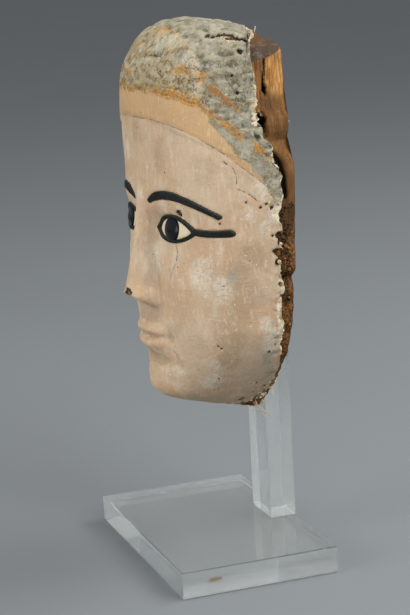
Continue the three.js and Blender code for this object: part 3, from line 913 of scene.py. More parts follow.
def scatter_tree(name, bent):
    """Geometry nodes that put a bent fibre or a crumb on each point of a mesh."""
    tree = bpy.data.node_groups.new(name, "GeometryNodeTree")
    kinds = {
        "Geometry": "Geometry", "Thickness": "Float", "Unevenness": "Float",
        "Material": "Material", "Seed": "Int",
    }
    for socket, kind in kinds.items():
        tree.interface.new_socket(socket, in_out="INPUT", socket_type=f"NodeSocket{kind}")
    tree.interface.new_socket("Geometry", in_out="OUTPUT", socket_type="NodeSocketGeometry")

    def add(kind, inputs=None, **settings):
        return add_node(tree, kind, inputs, **settings)

    given = add("NodeGroupInput")
    if bent:
        path = add("GeometryNodeCurveQuadraticBezier", {
            "Resolution": 7, "Start": (0, 0, 0), "Middle": (0.16, 0.05, 0.55), "End": (-0.05, 0.14, 1),
        })
        along = add("GeometryNodeSplineParameter")["Factor"]
        thinner = add("ShaderNodeMapRange", {"Value": along, "To Min": 1.0, "To Max": 0.25})
        tapered = add("GeometryNodeSetCurveRadius", {"Curve": path[0], "Radius": thinner[0]})
        profile = add("GeometryNodeCurvePrimitiveCircle", {
            "Resolution": 6, "Radius": given["Thickness"],
        })
        shape = add("GeometryNodeCurveToMesh", {
            "Curve": tapered[0], "Profile Curve": profile[0], "Fill Caps": True,
        })
    else:
        shape = add("GeometryNodeMeshIcoSphere", {"Radius": given["Thickness"], "Subdivisions": 2})
    lumps = add("ShaderNodeTexNoise", {"W": given["Seed"], "Scale": 1.7}, noise_dimensions="4D")
    lowered = add("ShaderNodeMath", {0: lumps["Fac"], 1: 0.5}, operation="SUBTRACT")
    uneven = add("ShaderNodeMath", {0: lowered[0], 1: given["Unevenness"]}, operation="MULTIPLY")
    normal = add("GeometryNodeInputNormal")
    push = add("ShaderNodeVectorMath", {0: normal[0], "Scale": uneven[0]}, operation="SCALE")
    moved = add("GeometryNodeSetPosition", {"Geometry": shape[0], "Offset": push[0]})
    aim = add("GeometryNodeInputNamedAttribute", {"Name": "aim"}, data_type="FLOAT_VECTOR")
    turned = add("FunctionNodeAlignRotationToVector", {"Vector": aim["Attribute"]})
    stretch = add("GeometryNodeInputNamedAttribute", {"Name": "stretch"}, data_type="FLOAT_VECTOR")
    put = add("GeometryNodeInstanceOnPoints", {
        "Points": given["Geometry"], "Instance": moved[0],
        "Rotation": turned[0], "Scale": stretch["Attribute"],
    })
    real = add("GeometryNodeRealizeInstances", {0: put[0]})
    smooth = add("GeometryNodeSetShadeSmooth", {"Geometry": real[0], "Shade Smooth": bent})
    painted = add("GeometryNodeSetMaterial", {"Geometry": smooth[0], "Material": given["Material"]})
    add("NodeGroupOutput", {0: painted[0]})
    return tree


def scattered(name, tree, points, aims, stretches, values, attributes):
    """Puts the tree's shape on points given in metres and returns it as a plain mesh."""
    mesh = bpy.data.meshes.new(name)
    mesh.from_pydata(np.asarray(points).tolist(), [], [])
    for key, vectors in (("aim", aims), ("stretch", stretches)):
        layer = mesh.attributes.new(key, "FLOAT_VECTOR", "POINT")
        layer.data.foreach_set("vector", np.asarray(vectors, np.float32).ravel())
    piece = bpy.data.objects.new(name, mesh)
    bpy.context.scene.collection.objects.link(piece)
    modifier = piece.modifiers.new("scatter", "NODES")
    modifier.node_group = tree
    for item in tree.interface.items_tree:
        if item.in_out == "INPUT" and item.name in values:
            modifier[item.identifier] = values[item.name]
    depsgraph = bpy.context.evaluated_depsgraph_get()
    plain = bpy.data.meshes.new_from_object(piece.evaluated_get(depsgraph), depsgraph=depsgraph)
    if not len(plain.polygons):
        raise RuntimeError(f"{name} came out empty")
    piece.modifiers.remove(modifier)
    while plain.materials[0] is None:
        plain.materials.pop(index=0)
    piece.data = plain
    for key, value in attributes.items():
        layer = plain.attributes.new(key, "FLOAT", "POINT")
        layer.data.foreach_set("value", np.full(len(plain.vertices), value, np.float32))
    return piece


def marched(field, x_range, z_range, step):
    """Polygons of the inside of a field, on a square grid cut along the field's edge."""
    xs = np.arange(x_range[0], x_range[1] + step, step)
    zs = np.arange(z_range[0], z_range[1] + step, step)
    gx, gz = np.meshgrid(xs, zs)
    value = field(gx, gz)
    value = np.where(np.abs(value) < 1e-4, -1e-4, value)
    vertices, faces, known = [], [], {}

    def vertex(key, place):
        if key not in known:
            known[key] = len(vertices)
            vertices.append(place)
        return known[key]

    inside = value < 0
    any_in = inside[:-1, :-1] | inside[:-1, 1:] | inside[1:, 1:] | inside[1:, :-1]
    for r, c in zip(*np.nonzero(any_in)):
        corners = [(r, c), (r, c + 1), (r + 1, c + 1), (r + 1, c)]
        face = []
        for k, a in enumerate(corners):
            b = corners[(k + 1) % 4]
            if inside[a]:
                face.append(vertex(a, (gx[a], gz[a])))
            if inside[a] != inside[b]:
                share = value[a] / (value[a] - value[b])
                place = (gx[a] + share * (gx[b] - gx[a]), gz[a] + share * (gz[b] - gz[a]))
                face.append(vertex((min(a, b), max(a, b)), place))
        faces.append(face)
    return np.array(vertices), faces


def inlay_mesh(field, x_range, z_range, step, top, depth, side, sizes):
    """A closed inlay: its top follows the face at heights given by top, its underside is deeper."""
    flat, faces = marched(field, x_range, z_range, step)
    x, z = flat.T
    level = face_depth(x, z, sizes.plaster_thickness / MM, sizes)
    upper = np.stack([x, level - top(x, z), z], axis=-1)
    lower = np.stack([x, level + depth, z], axis=-1)
    count = len(flat)
    used = {edge: True for face in faces for edge in zip(face, face[1:] + face[:1])}
    walls = [(b, a, a + count, b + count) for a, b in used if (b, a) not in used]
    under = [[v + count for v in reversed(face)] for face in faces]
    points = np.concatenate([upper, lower])
    everything = [*faces, *under, *walls]
    if side < 0:
        points = points * [-1, 1, 1]
        everything = [list(reversed(face)) for face in everything]
    return points, everything


def rounded(field, proud, radius):
    """The height of an inlay's top, rounded over at its edge."""

    def height(x, z):
        inside = np.clip(-field(x, z), 0, radius)
        fall = radius - np.sqrt(np.maximum(0, radius**2 - (radius - inside) ** 2))
        return proud - fall

    return height


# Materials


class Shading:
    """Adds nodes to a new material and links them."""

    def __init__(self, name):
        self.material = bpy.data.materials.new(name)
        self.material.use_nodes = True
        self.tree = self.material.node_tree
        self.place = self.add("ShaderNodeTexCoord")["Object"]

    def add(self, kind, inputs=None, **settings):
        return add_node(self.tree, kind, inputs, **settings)

    def math(self, operation, a, b=0.0):
        return self.add("ShaderNodeMath", {0: a, 1: b}, operation=operation)[0]

    def plus(self, a, b):
        return self.math("ADD", a, b)

    def minus(self, a, b):
        return self.math("SUBTRACT", a, b)

    def part(self, value, share):
        return self.math("MULTIPLY", value, share)

    def most(self, a, b):
        return self.math("MAXIMUM", a, b)

    def centred(self, value, reach):
        """A noise moved to lie round 0."""
        return self.part(self.minus(value, 0.5), reach)

    def value(self, name):
        return self.add("ShaderNodeAttribute", attribute_name=name)["Fac"]

    def vector(self, operation, a, b=(0, 0, 0)):
        return self.add("ShaderNodeVectorMath", {0: a, 1: b}, operation=operation)

    def scaled(self, stretch):
        return self.place if stretch == (1, 1, 1) else self.vector("MULTIPLY", self.place, stretch)[0]

    def noise(self, size, detail=2.0, stretch=(1, 1, 1), roughness=0.55):
        """Noise with features of a size in millimetres, from about 0 to 1."""
        return self.add("ShaderNodeTexNoise", {
            "Vector": self.scaled(stretch), "Scale": 1 / (size * MM),
            "Detail": detail, "Roughness": roughness,
        })["Fac"]

    def cells(self, size, stretch=(1, 1, 1)):
        """Scattered spots: the distance to the nearest one in millimetres and its own chance."""
        inputs = {"Vector": self.scaled(stretch), "Scale": 1 / (size * MM)}
        spots = self.add("ShaderNodeTexVoronoi", inputs, feature="F1")
        own = self.add("ShaderNodeSeparateColor", {0: spots["Color"]})[0]
        return self.part(spots["Distance"], size), own

    def spots(self, size, radius, chance, stretch=(1, 1, 1)):
        """Dark dots of a radius, in some of the cells."""
        distance, own = self.cells(size, stretch)
        dot = self.step(distance, radius * 1.15, radius * 0.75)
        return self.part(dot, self.step(own, 1 - chance, 1 - chance + 0.01))

    def step(self, value, start, end):
        """0 at the start and 1 at the end, with a smooth passage between them."""
        rising = start < end
        return self.add("ShaderNodeMapRange", {
            "Value": value, "From Min": min(start, end), "From Max": max(start, end),
            "To Min": 0.0 if rising else 1.0, "To Max": 1.0 if rising else 0.0,
        }, interpolation_type="SMOOTHSTEP")[0]

    def mix(self, share, a, b):
        """The colour a with a share of the colour b."""
        a, b = (c if isinstance(c, bpy.types.NodeSocket) else (*c[:3], 1) for c in (a, b))
        return self.add("ShaderNodeMix", {0: share, 6: a, 7: b}, data_type="RGBA")[2]

    def coat(self, colour, paint, value, share):
        """A colour with a share of paint over it, where the value is 1."""
        return self.mix(self.part(value, share), colour, paint)

    def over(self, colour, paint, value, start, end, share):
        """A colour with a share of paint over it, where the value has passed from start to end."""
        return self.coat(colour, paint, self.step(value, start, end), share)

    def finish(self, colour, roughness, height=None, strength=0.5, **constants):
        inputs = {"Base Color": colour, "Roughness": roughness}
        if height is not None:
            bump = {"Strength": strength, "Distance": MM, "Height": height}
            inputs["Normal"] = self.add("ShaderNodeBump", bump)[0]
        inputs.update({name.replace("_", " "): value for name, value in constants.items()})
        shader = self.tree.nodes["Principled BSDF"]
        for name, value in inputs.items():
            feed(self.tree, shader.inputs[name], value)
        return self.material


def plaster_material(colours):
    s = Shading("worn_plaster")
    grit = s.noise(0.8, 3, roughness=0.7)
    small = s.noise(2.6, 4, roughness=0.65)
    medium = s.noise(10, 4, roughness=0.6)
    large = s.noise(38, 3)
    streaks = s.noise(1.8, 3, (1, 1, 0.09), 0.65)
    broad_streaks = s.noise(9, 4, (1, 1, 0.3), 0.65)
    torn = s.centred(small, 7.0)
    edge = s.value("edge")
    pit = s.value("pit")

    def patches(name, spread, start, end):
        """A list's places with an uneven border."""
        return s.step(s.plus(s.value(name), s.centred(small, spread)), start, end)

    # The paint of the face, streaked, stained and chalky in places
    face = s.mix(s.step(large, 0.38, 0.62), colours.flesh, colours.flesh_warm)
    face = s.over(face, colours.flesh_pale, broad_streaks, 0.48, 0.7, 0.7)
    stained = s.plus(s.value("stained"), s.centred(broad_streaks, 1.6))
    face = s.over(face, colours.flesh_stain, stained, 0.2, 0.85, 0.7)
    mottled = s.noise(5, 5, (1, 1, 0.6), 0.7)
    face = s.over(face, colours.flesh_grey, mottled, 0.53, 0.66, 0.4)
    face = s.over(face, colours.flesh_pale, mottled, 0.46, 0.34, 0.45)
    face = s.over(face, colours.flesh_warm, streaks, 0.52, 0.75, 0.3)
    face = s.over(face, colours.dirt_and_shade, streaks, 0.44, 0.22, 0.3)
    face = s.over(face, colours.flesh_grey, medium, 0.54, 0.7, 0.35)
    chalky = s.step(s.plus(s.value("pale"), s.centred(medium, 2.0)), 0.15, 0.85)
    chalky = s.part(chalky, s.step(s.plus(small, s.centred(grit, 0.7)), 0.3, 0.62))
    face = s.coat(face, colours.chalk, chalky, 0.62)

    # The crust of the head-cloth
    cloth = s.mix(s.step(s.noise(6, 5, roughness=0.7), 0.42, 0.58), colours.cloth, colours.cloth_pale)
    olive = s.most(patches("olive", 2.4, 0.3, 0.6), s.step(s.noise(7, 4, roughness=0.7), 0.54, 0.6))
    cloth = s.coat(cloth, colours.cloth_stain, olive, 0.75)
    cloth = s.over(cloth, colours.blue_grey, s.noise(8, 4, roughness=0.7), 0.58, 0.64, 0.15)
    cloth = s.coat(cloth, colours.chalk, patches("pale", 2.2, 0.25, 0.7), 0.47)
    cloth = s.over(cloth, colours.cloth_white, grit, 0.5, 0.62, 0.3)
    tan = s.step(s.noise(4.2, 4, roughness=0.65), 0.56, 0.62)
    cloth = s.coat(cloth, colours.ochre, tan, 0.6)
    cloth = s.coat(cloth, colours.ochre, patches("ochre", 2.6, 0.3, 0.5), 0.85)
    crumbs = s.noise(1.5, 3, roughness=0.75)
    folds = s.noise(2.4, 4, (0.4, 0.4, 1), 0.65)
    cloth = s.over(cloth, colours.cloth_white, folds, 0.55, 0.68, 0.42)
    cloth = s.over(cloth, colours.cloth_shade, folds, 0.47, 0.36, 0.7)
    dirty = s.plus(crumbs, s.part(s.value("speck"), 0.085))
    cloth = s.over(cloth, colours.dirt_dark, dirty, 0.595, 0.65, 0.9)
    cloth = s.over(cloth, colours.cloth_shade, grit, 0.46, 0.34, 0.4)

    # The head-cloth over its band line and a stained strip under it
    band = s.value("band")
    above = s.step(s.plus(band, torn), -0.6, 0.6)
    line_side = s.value("dark_line")
    between = s.part(s.step(line_side, -1, 1), s.minus(1.0, above))
    face = s.coat(face, colours.ochre_pale, between, 0.9)
    colour = s.mix(above, face, cloth)

    # Grey paint beside the break, and bluish worn places
    grey = s.step(s.plus(s.value("grey"), s.centred(small, 1.4)), 0.42, 0.62)
    grey_paint = s.mix(s.step(medium, 0.4, 0.6), colours.grey_green, colours.blue_grey)
    grey_paint = s.over(grey_paint, colours.cloth_pale, grit, 0.5, 0.62, 0.4)
    grey_paint = s.over(grey_paint, colours.dirt_dark, dirty, 0.56, 0.66, 0.7)
    colour = s.coat(colour, grey_paint, grey, 0.9)
    blue = patches("blue", 2.0, 0.35, 0.8)
    colour = s.coat(colour, colours.blue_grey, blue, 0.75)

    # Ochre stripes, with losses
    kept = s.step(s.plus(s.cells(2.4)[1], s.centred(small, 1.2)), 0.04, 0.14)
    wander = s.centred(medium, 5.0)
    off_band = s.plus(s.plus(band, wander), s.part(torn, 0.6))
    stripe = s.step(s.math("ABSOLUTE", s.minus(off_band, 1.3)), 4.4, 3.2)
    stripe = s.part(stripe, s.step(s.noise(14, 3), 0.34, 0.42))
    stripe = s.part(stripe, s.minus(1.0, blue))
    off_upper = s.plus(s.value("upper_stripe"), s.plus(wander, torn))
    upper = s.step(s.math("ABSOLUTE", off_upper), 2.6, 1.4)
    upper = s.part(upper, s.step(s.noise(11, 3, (1, 1, 1.2)), 0.54, 0.58))
    streak = s.step(s.plus(s.value("streak"), s.part(torn, 0.7)), 0.5, -0.3)
    crest = s.step(s.plus(s.value("crest"), s.part(torn, 0.8)), 0.4, -0.4)
    painted = s.most(s.most(stripe, streak), s.part(s.most(upper, crest), 0.8))
    painted = s.part(painted, s.most(kept, s.part(streak, 0.5)))
    painted = s.part(painted, s.step(pit, 0.2, 0.08))
    ochre = s.mix(s.step(small, 0.4, 0.6), colours.ochre, colours.ochre_dark)
    ochre = s.over(ochre, colours.ochre, grit, 0.44, 0.6, 0.5)
    darker = s.part(streak, s.step(s.noise(3.4, 4, roughness=0.7), 0.58, 0.46))
    ochre = s.coat(ochre, colours.ochre_dark, darker, 0.9)
    colour = s.coat(colour, ochre, painted, 0.92)

    # The dark line under the band
    off_line = s.math("ABSOLUTE", s.plus(line_side, s.centred(medium, 2.6)))
    line = s.part(s.step(off_line, 0.8, 0.1), s.step(s.noise(5, 4, roughness=0.7), 0.42, 0.56))
    line = s.part(line, s.minus(1.0, grey))
    colour = s.coat(colour, colours.dirt_dark, line, 0.65)

    # Painted shade in the carving's hollows, darker pits, rubbed high places, grime, scratches and
    # specks
    # Painted shade: the hollows of the carving are darkened
    colour = s.over(colour, colours.dirt_and_shade, s.value("hollow"), 0.6, 1.0, 0.5)
    deep = s.plus(pit, s.centred(grit, 0.3))
    coarse_place = s.most(above, s.most(grey, s.step(edge, 8.0, 4.0)))
    in_pits = s.part(s.step(deep, 0.18, 0.5), s.most(coarse_place, 0.12))
    colour = s.coat(colour, colours.dirt_dark, in_pits, 0.65)
    coarse_place = s.part(coarse_place, s.minus(1.0, painted))
    raised = s.part(s.step(deep, -0.08, -0.3), coarse_place)
    colour = s.coat(colour, colours.cloth_white, raised, 0.35)
    grime = s.step(s.noise(22, 4, roughness=0.6), 0.48, 0.72)
    colour = s.coat(colour, colours.dirt_and_shade, grime, 0.3)
    smooth_place = s.minus(0.32, s.part(above, 0.2))
    colour = s.over(colour, colours.gesso, grit, 0.56, 0.72, smooth_place)
    colour = s.over(colour, colours.dirt_and_shade, grit, 0.42, 0.26, 0.35)
    scratches = s.noise(1.3, 3, (1, 0.4, 0.12), 0.6)
    colour = s.over(colour, colours.gesso, scratches, 0.6, 0.7, smooth_place)
    colour = s.over(colour, colours.dirt_and_shade, scratches, 0.4, 0.3, 0.25)
    dots = s.most(s.spots(11, 0.55, 0.3), s.spots(5.2, 0.4, 0.14))
    dots = s.most(dots, s.step(s.plus(s.value("pock"), s.centred(grit, 1.0)), 0.35, -0.1))
    colour = s.coat(colour, colours.hole, dots, 0.92)
    chips = s.step(s.noise(3.4, 2), 0.71, 0.74)
    colour = s.coat(colour, colours.chalk, chips, 0.7)

    # Fine cracks
    near = s.step(s.value("crack_near"), 0.35, 0.6)
    off_crack = s.math("ABSOLUTE", s.plus(s.value("crack"), s.centred(grit, 0.6)))
    crack = s.part(s.step(off_crack, 0.4, 0.1), near)
    crack = s.part(crack, s.step(s.noise(3.6, 4, roughness=0.75), 0.47, 0.56))
    colour = s.coat(colour, colours.hole, crack, 0.85)

    # Wood in the places where the plaster is lost
    bare = s.plus(s.value("bare"), s.centred(grit, 1.2))
    wood = s.mix(s.step(s.noise(1.8, 3, (1, 1, 0.5)), 0.4, 0.6), colours.wood_dark, colours.bare_wood)
    # Painted shade: a dark ring along the border of each loss, under the broken plaster's wall
    wood = s.mix(s.step(bare, -1.1, -0.1), wood, colours.wood_deep_and_shade)
    wood = s.coat(wood, colours.hole, s.spots(2.3, 0.9, 0.8), 0.9)
    colour = s.mix(s.step(bare, 0.3, -0.1), colour, wood)

    # The cream ground at the broken edge and in the flakes beside it
    chip_own = s.cells(3.2, (1, 1, 0.8))[1]
    flaked = s.minus(edge, s.part(s.value("flaking"), 4.0))
    flaked = s.plus(flaked, s.plus(s.centred(chip_own, 3.4), s.part(torn, 0.4)))
    cream = s.step(flaked, 0.7, 0.4)
    cream = s.most(cream, s.part(s.step(s.plus(edge, s.part(torn, 0.3)), 0.7, 0.2), 0.8))
    gesso = s.mix(s.step(chip_own, 0.3, 0.8), colours.gesso, colours.gesso_stain)
    gesso = s.over(gesso, colours.gesso_stain, small, 0.5, 0.62, 0.5)
    gesso = s.over(gesso, colours.dirt_and_shade, grit, 0.44, 0.32, 0.6)
    colour = s.mix(cream, colour, gesso)

    # Relief
    coarse = s.part(s.part(crumbs, 1.7), s.most(above, s.part(grey, 0.5)))
    height = s.plus(s.part(grit, 0.4), s.part(small, 0.6))
    height = s.plus(height, s.part(streaks, 0.3))
    height = s.minus(height, coarse)
    height = s.minus(height, s.part(dots, 0.6))
    height = s.minus(height, s.part(crack, 0.7))
    height = s.plus(height, s.part(painted, 0.25))
    rough = s.plus(0.66, s.part(small, 0.2))
    return s.finish(colour, rough, height, 1.0, Specular_IOR_Level=0.3)


def wood_material(colours):
    s = Shading("weathered_wood")
    fibres = s.noise(0.9, 3, (1, 1, 0.045), 0.7)
    grain = s.noise(2.0, 4, (1, 1, 0.06), 0.65)
    coarse = s.noise(5, 3, (1, 1, 0.08))
    patchy = s.noise(16, 3, (1, 1, 0.5))
    small = s.noise(2.0, 4, roughness=0.7)

    # Old wood, and fresh breaks with light fibres
    old = s.mix(s.step(grain, 0.38, 0.62), colours.wood_mid, colours.wood_warm)
    old = s.over(old, colours.wood_brown, patchy, 0.42, 0.6, 0.6)
    old = s.over(old, colours.wood_fresh, fibres, 0.54, 0.68, 0.6)
    fresh = s.mix(s.step(coarse, 0.36, 0.56), colours.wood_warm, colours.wood_fresh)
    fresh = s.over(fresh, colours.wood_light, fibres, 0.46, 0.6, 0.72)
    warm = s.mix(s.step(grain, 0.4, 0.6), colours.wood_mid, colours.wood_warm)
    warm = s.over(warm, colours.wood_fresh, fibres, 0.52, 0.66, 0.5)
    ribs = s.noise(3.0, 3, (1, 1, 0.07), 0.6)
    fresh = s.over(fresh, colours.wood_mid, ribs, 0.46, 0.40, 0.8)
    warm = s.over(warm, colours.wood_dark, ribs, 0.48, 0.41, 0.75)
    light = s.step(s.plus(s.value("light"), s.centred(coarse, 0.8)), 0.2, 0.5)
    colour = s.mix(s.value("fresh"), old, s.mix(light, warm, fresh))
    uneven = s.step(s.noise(8, 4, (1, 0.6, 0.3), 0.65), 0.46, 0.62)
    colour = s.coat(colour, colours.wood_brown, uneven, 0.35)

    # Crumbly wood, low on the block
    granular = s.noise(1.7, 4, roughness=0.75)
    clump = s.plus(s.part(s.value("crumb"), 0.45), s.centred(granular, 4.5))
    low = s.mix(s.step(clump, -1.1, -0.5), colours.wood_deep_and_shade, colours.wood_red)
    low = s.mix(s.step(clump, -0.5, 0.1), low, colours.wood_warm)
    low = s.over(low, colours.wood_fresh, clump, 0.2, 0.7, 0.95)
    colour = s.coat(colour, low, s.value("low"), 0.9)
    umber = s.step(s.plus(s.value("umber"), s.centred(coarse, 1.2)), 0.2, 0.8)
    colour = s.coat(colour, colours.wood_dark, umber, 0.7)

    # The weathered facet at the crown
    high = s.plus(s.value("facet"), s.centred(small, 8.0))
    worn = s.mix(s.step(small, 0.42, 0.6), colours.wood_grey, colours.wood_brown)
    worn = s.over(worn, colours.wood_red, high, 6.0, 13.0, 0.5)
    worn = s.over(worn, colours.wood_pale, s.noise(3, 3, (1, 0.3, 1)), 0.52, 0.64, 0.35)
    facet = s.step(s.plus(s.value("facet"), s.centred(small, 2.0)), -0.4, 0.5)
    colour = s.mix(facet, colour, worn)

    # The sawn back
    back = s.mix(s.step(grain, 0.38, 0.62), colours.wood_dark, colours.wood_brown)
    back = s.over(back, colours.wood_grey, patchy, 0.48, 0.62, 0.5)
    back = s.over(back, colours.wood_mid, fibres, 0.52, 0.68, 0.5)
    back = s.over(back, colours.wood_pale, s.noise(60, 3), 0.45, 0.65, 0.3)
    colour = s.mix(s.value("back"), colour, back)
    colour = s.over(colour, colours.wood_deep_and_shade, grain, 0.42, 0.28, 0.7)
    colour = s.over(colour, colours.wood_deep_and_shade, fibres, 0.4, 0.26, 0.6)

    # Worm holes and burrows
    eaten = s.part(s.step(s.noise(1.6, 3, roughness=0.7), 0.54, 0.61), s.value("low"))
    colour = s.coat(colour, colours.hole, eaten, 0.75)
    dots = s.most(s.spots(6.5, 0.7, 0.25), s.part(s.spots(3.1, 0.6, 0.3), s.value("low")))
    wormy = s.step(s.plus(s.value("wormy"), s.centred(small, 0.8)), 0.15, 0.5)
    colour = s.coat(colour, colours.wood_deep_and_shade, wormy, 0.55)
    burrows = s.part(s.most(s.spots(3.3, 1.25, 0.8), s.spots(2.1, 0.8, 0.7)), wormy)
    dots = s.most(dots, burrows)
    colour = s.coat(colour, colours.hole, dots, 0.92)
    colour = s.mix(s.value("straw"), colour, colours.straw)
    # Painted shadow: near black in the gap behind the lifted plaster and in the holes, and in the cracks
    colour = s.mix(s.step(s.value("dark"), 0.25, 0.8), colour, colours.hole)

    # Relief
    height = s.plus(s.part(fibres, 1.6), s.part(grain, 1.0))
    height = s.plus(height, s.part(small, 0.4))
    height = s.plus(height, s.part(s.part(granular, 2.0), s.value("low")))
    height = s.minus(height, s.part(eaten, 1.2))
    rough = s.plus(0.74, s.part(coarse, 0.2))
    return s.finish(colour, rough, height, 1.0, Specular_IOR_Level=0.15)


def inlay_material(name, paints, roughness, strength):
    s = Shading(name)
    main, worn, hole = paints
    small = s.noise(2.2, 3)
    fine = s.noise(0.7, 2)
    colour = s.over(main, worn, small, 0.52, 0.75, 0.4)
    colour = s.over(colour, hole, fine, 0.66, 0.74, 0.5)
    # Along the outline the second paint is laid on: on the dark inlays a greenish painted highlight with
    # bloom, on the whites their stain
    edge = s.plus(s.value("inlay_edge"), s.centred(small, 1.2))
    colour = s.over(colour, worn, edge, 0.55, 0.95, 0.8)
    rough = s.plus(roughness, s.part(small, 0.2))
    return s.finish(colour, rough, s.plus(fine, small), strength, Specular_IOR_Level=0.2)


# Where sides of the stand are sawn matt and where old glue is, in metres
OVER_PLATE = (0.0201, 0.0202)
BAR_FAR_SIDE = (-0.0187, -0.0189)
PLATE_FAR_END = (-0.0987, -0.0989)
GLUE_PLACE = (0.099, -0.036, 0.0115)
GLUE_SQUEEZE = (1, 0.32, 1)
GLUE_EDGE = (0.0022, 0.0010)


def acrylic_material(colours):
    s = Shading("clear_acrylic")
    scratches = s.noise(0.8, 1, (1, 0.05, 1))
    rough = s.plus(0.015, s.part(s.step(s.noise(30, 2), 0.55, 0.8), 0.03))
    axes = s.add("ShaderNodeSeparateXYZ", {0: s.place})
    bar_side = s.part(s.step(axes["X"], *BAR_FAR_SIDE), s.step(axes["Z"], *OVER_PLATE))
    sawn = s.most(bar_side, s.step(axes["X"], *PLATE_FAR_END))
    rough = s.plus(rough, s.part(sawn, 0.75))
    offset = s.vector("SUBTRACT", s.place, GLUE_PLACE)[0]
    away = s.vector("LENGTH", s.vector("MULTIPLY", offset, GLUE_SQUEEZE)[0])["Value"]
    ragged_edge = s.plus(away, s.centred(s.noise(3, 3), 0.006))
    colour = s.coat(colours.acrylic, colours.glue, s.step(ragged_edge, *GLUE_EDGE), 0.95)
    return s.finish(
        colour, rough, scratches, 0.02,
        IOR=1.49, Transmission_Weight=0.94, Specular_IOR_Level=0.5,
    )


# Settings


def colour_property(name, description, value):
    return bpy.props.FloatVectorProperty(
        name=name, description=description, subtype="COLOR", size=3, min=0, max=1, default=value
    )


def length_property(name, description, value):
    return bpy.props.FloatProperty(
        name=name, description=description, unit="LENGTH", default=value, min=0
    )


def angle_property(name, description, degrees):
    return bpy.props.FloatProperty(
        name=name, description=description, subtype="ANGLE", default=radians(degrees)
    )


def light_property(name, description, value):
    return bpy.props.FloatProperty(name=name, description=description, default=value, min=0)


def count_property(name, description, value):
    return bpy.props.IntProperty(name=name, description=description, default=value, min=20)


class MaskSizes(bpy.types.PropertyGroup):
    """Sizes of the mask and its place on the stand"""

    half_width: length_property("Half width", "Half the width of the wood at the cheeks", 0.096)
    depth: length_property("Depth", "From the sawn back to the forehead, of the wood", 0.082)
    plaster_thickness: length_property("Plaster", "Thickness of the plaster", 0.004)
    lift: length_property("Lift", "Height of the jaw's underside over the floor", 0.105)
    back: length_property("Back", "How far behind the plate's middle the sawn back is", 0.0397)
    turn: angle_property("Turn", "How far the face is turned to its left", 5)
    plaster_columns: count_property("Plaster columns", "A third of the plaster's columns", 98)
    plaster_rows: count_property("Plaster rows", "A third of the plaster's rows", 90)
    wood_columns: count_property("Wood columns", "Columns of the wood's surface", 200)
    wood_rows: count_property("Wood rows", "Rows of the wood's surface", 190)
    seed: bpy.props.IntProperty(name="Seed", description="Seed of crumbs and fibres", default=7)
    inlay_step: length_property("Inlay step", "Grid of the inlays", 0.0006)
    inlay_proud: length_property("Inlay height", "How far brows and eye rims stand out", 0.0011)
    pupil_proud: length_property("Pupil height", "How far the pupils stand out", 0.0012)
    inlay_depth: length_property("Inlay depth", "How deep the inlays are let in", 0.0018)


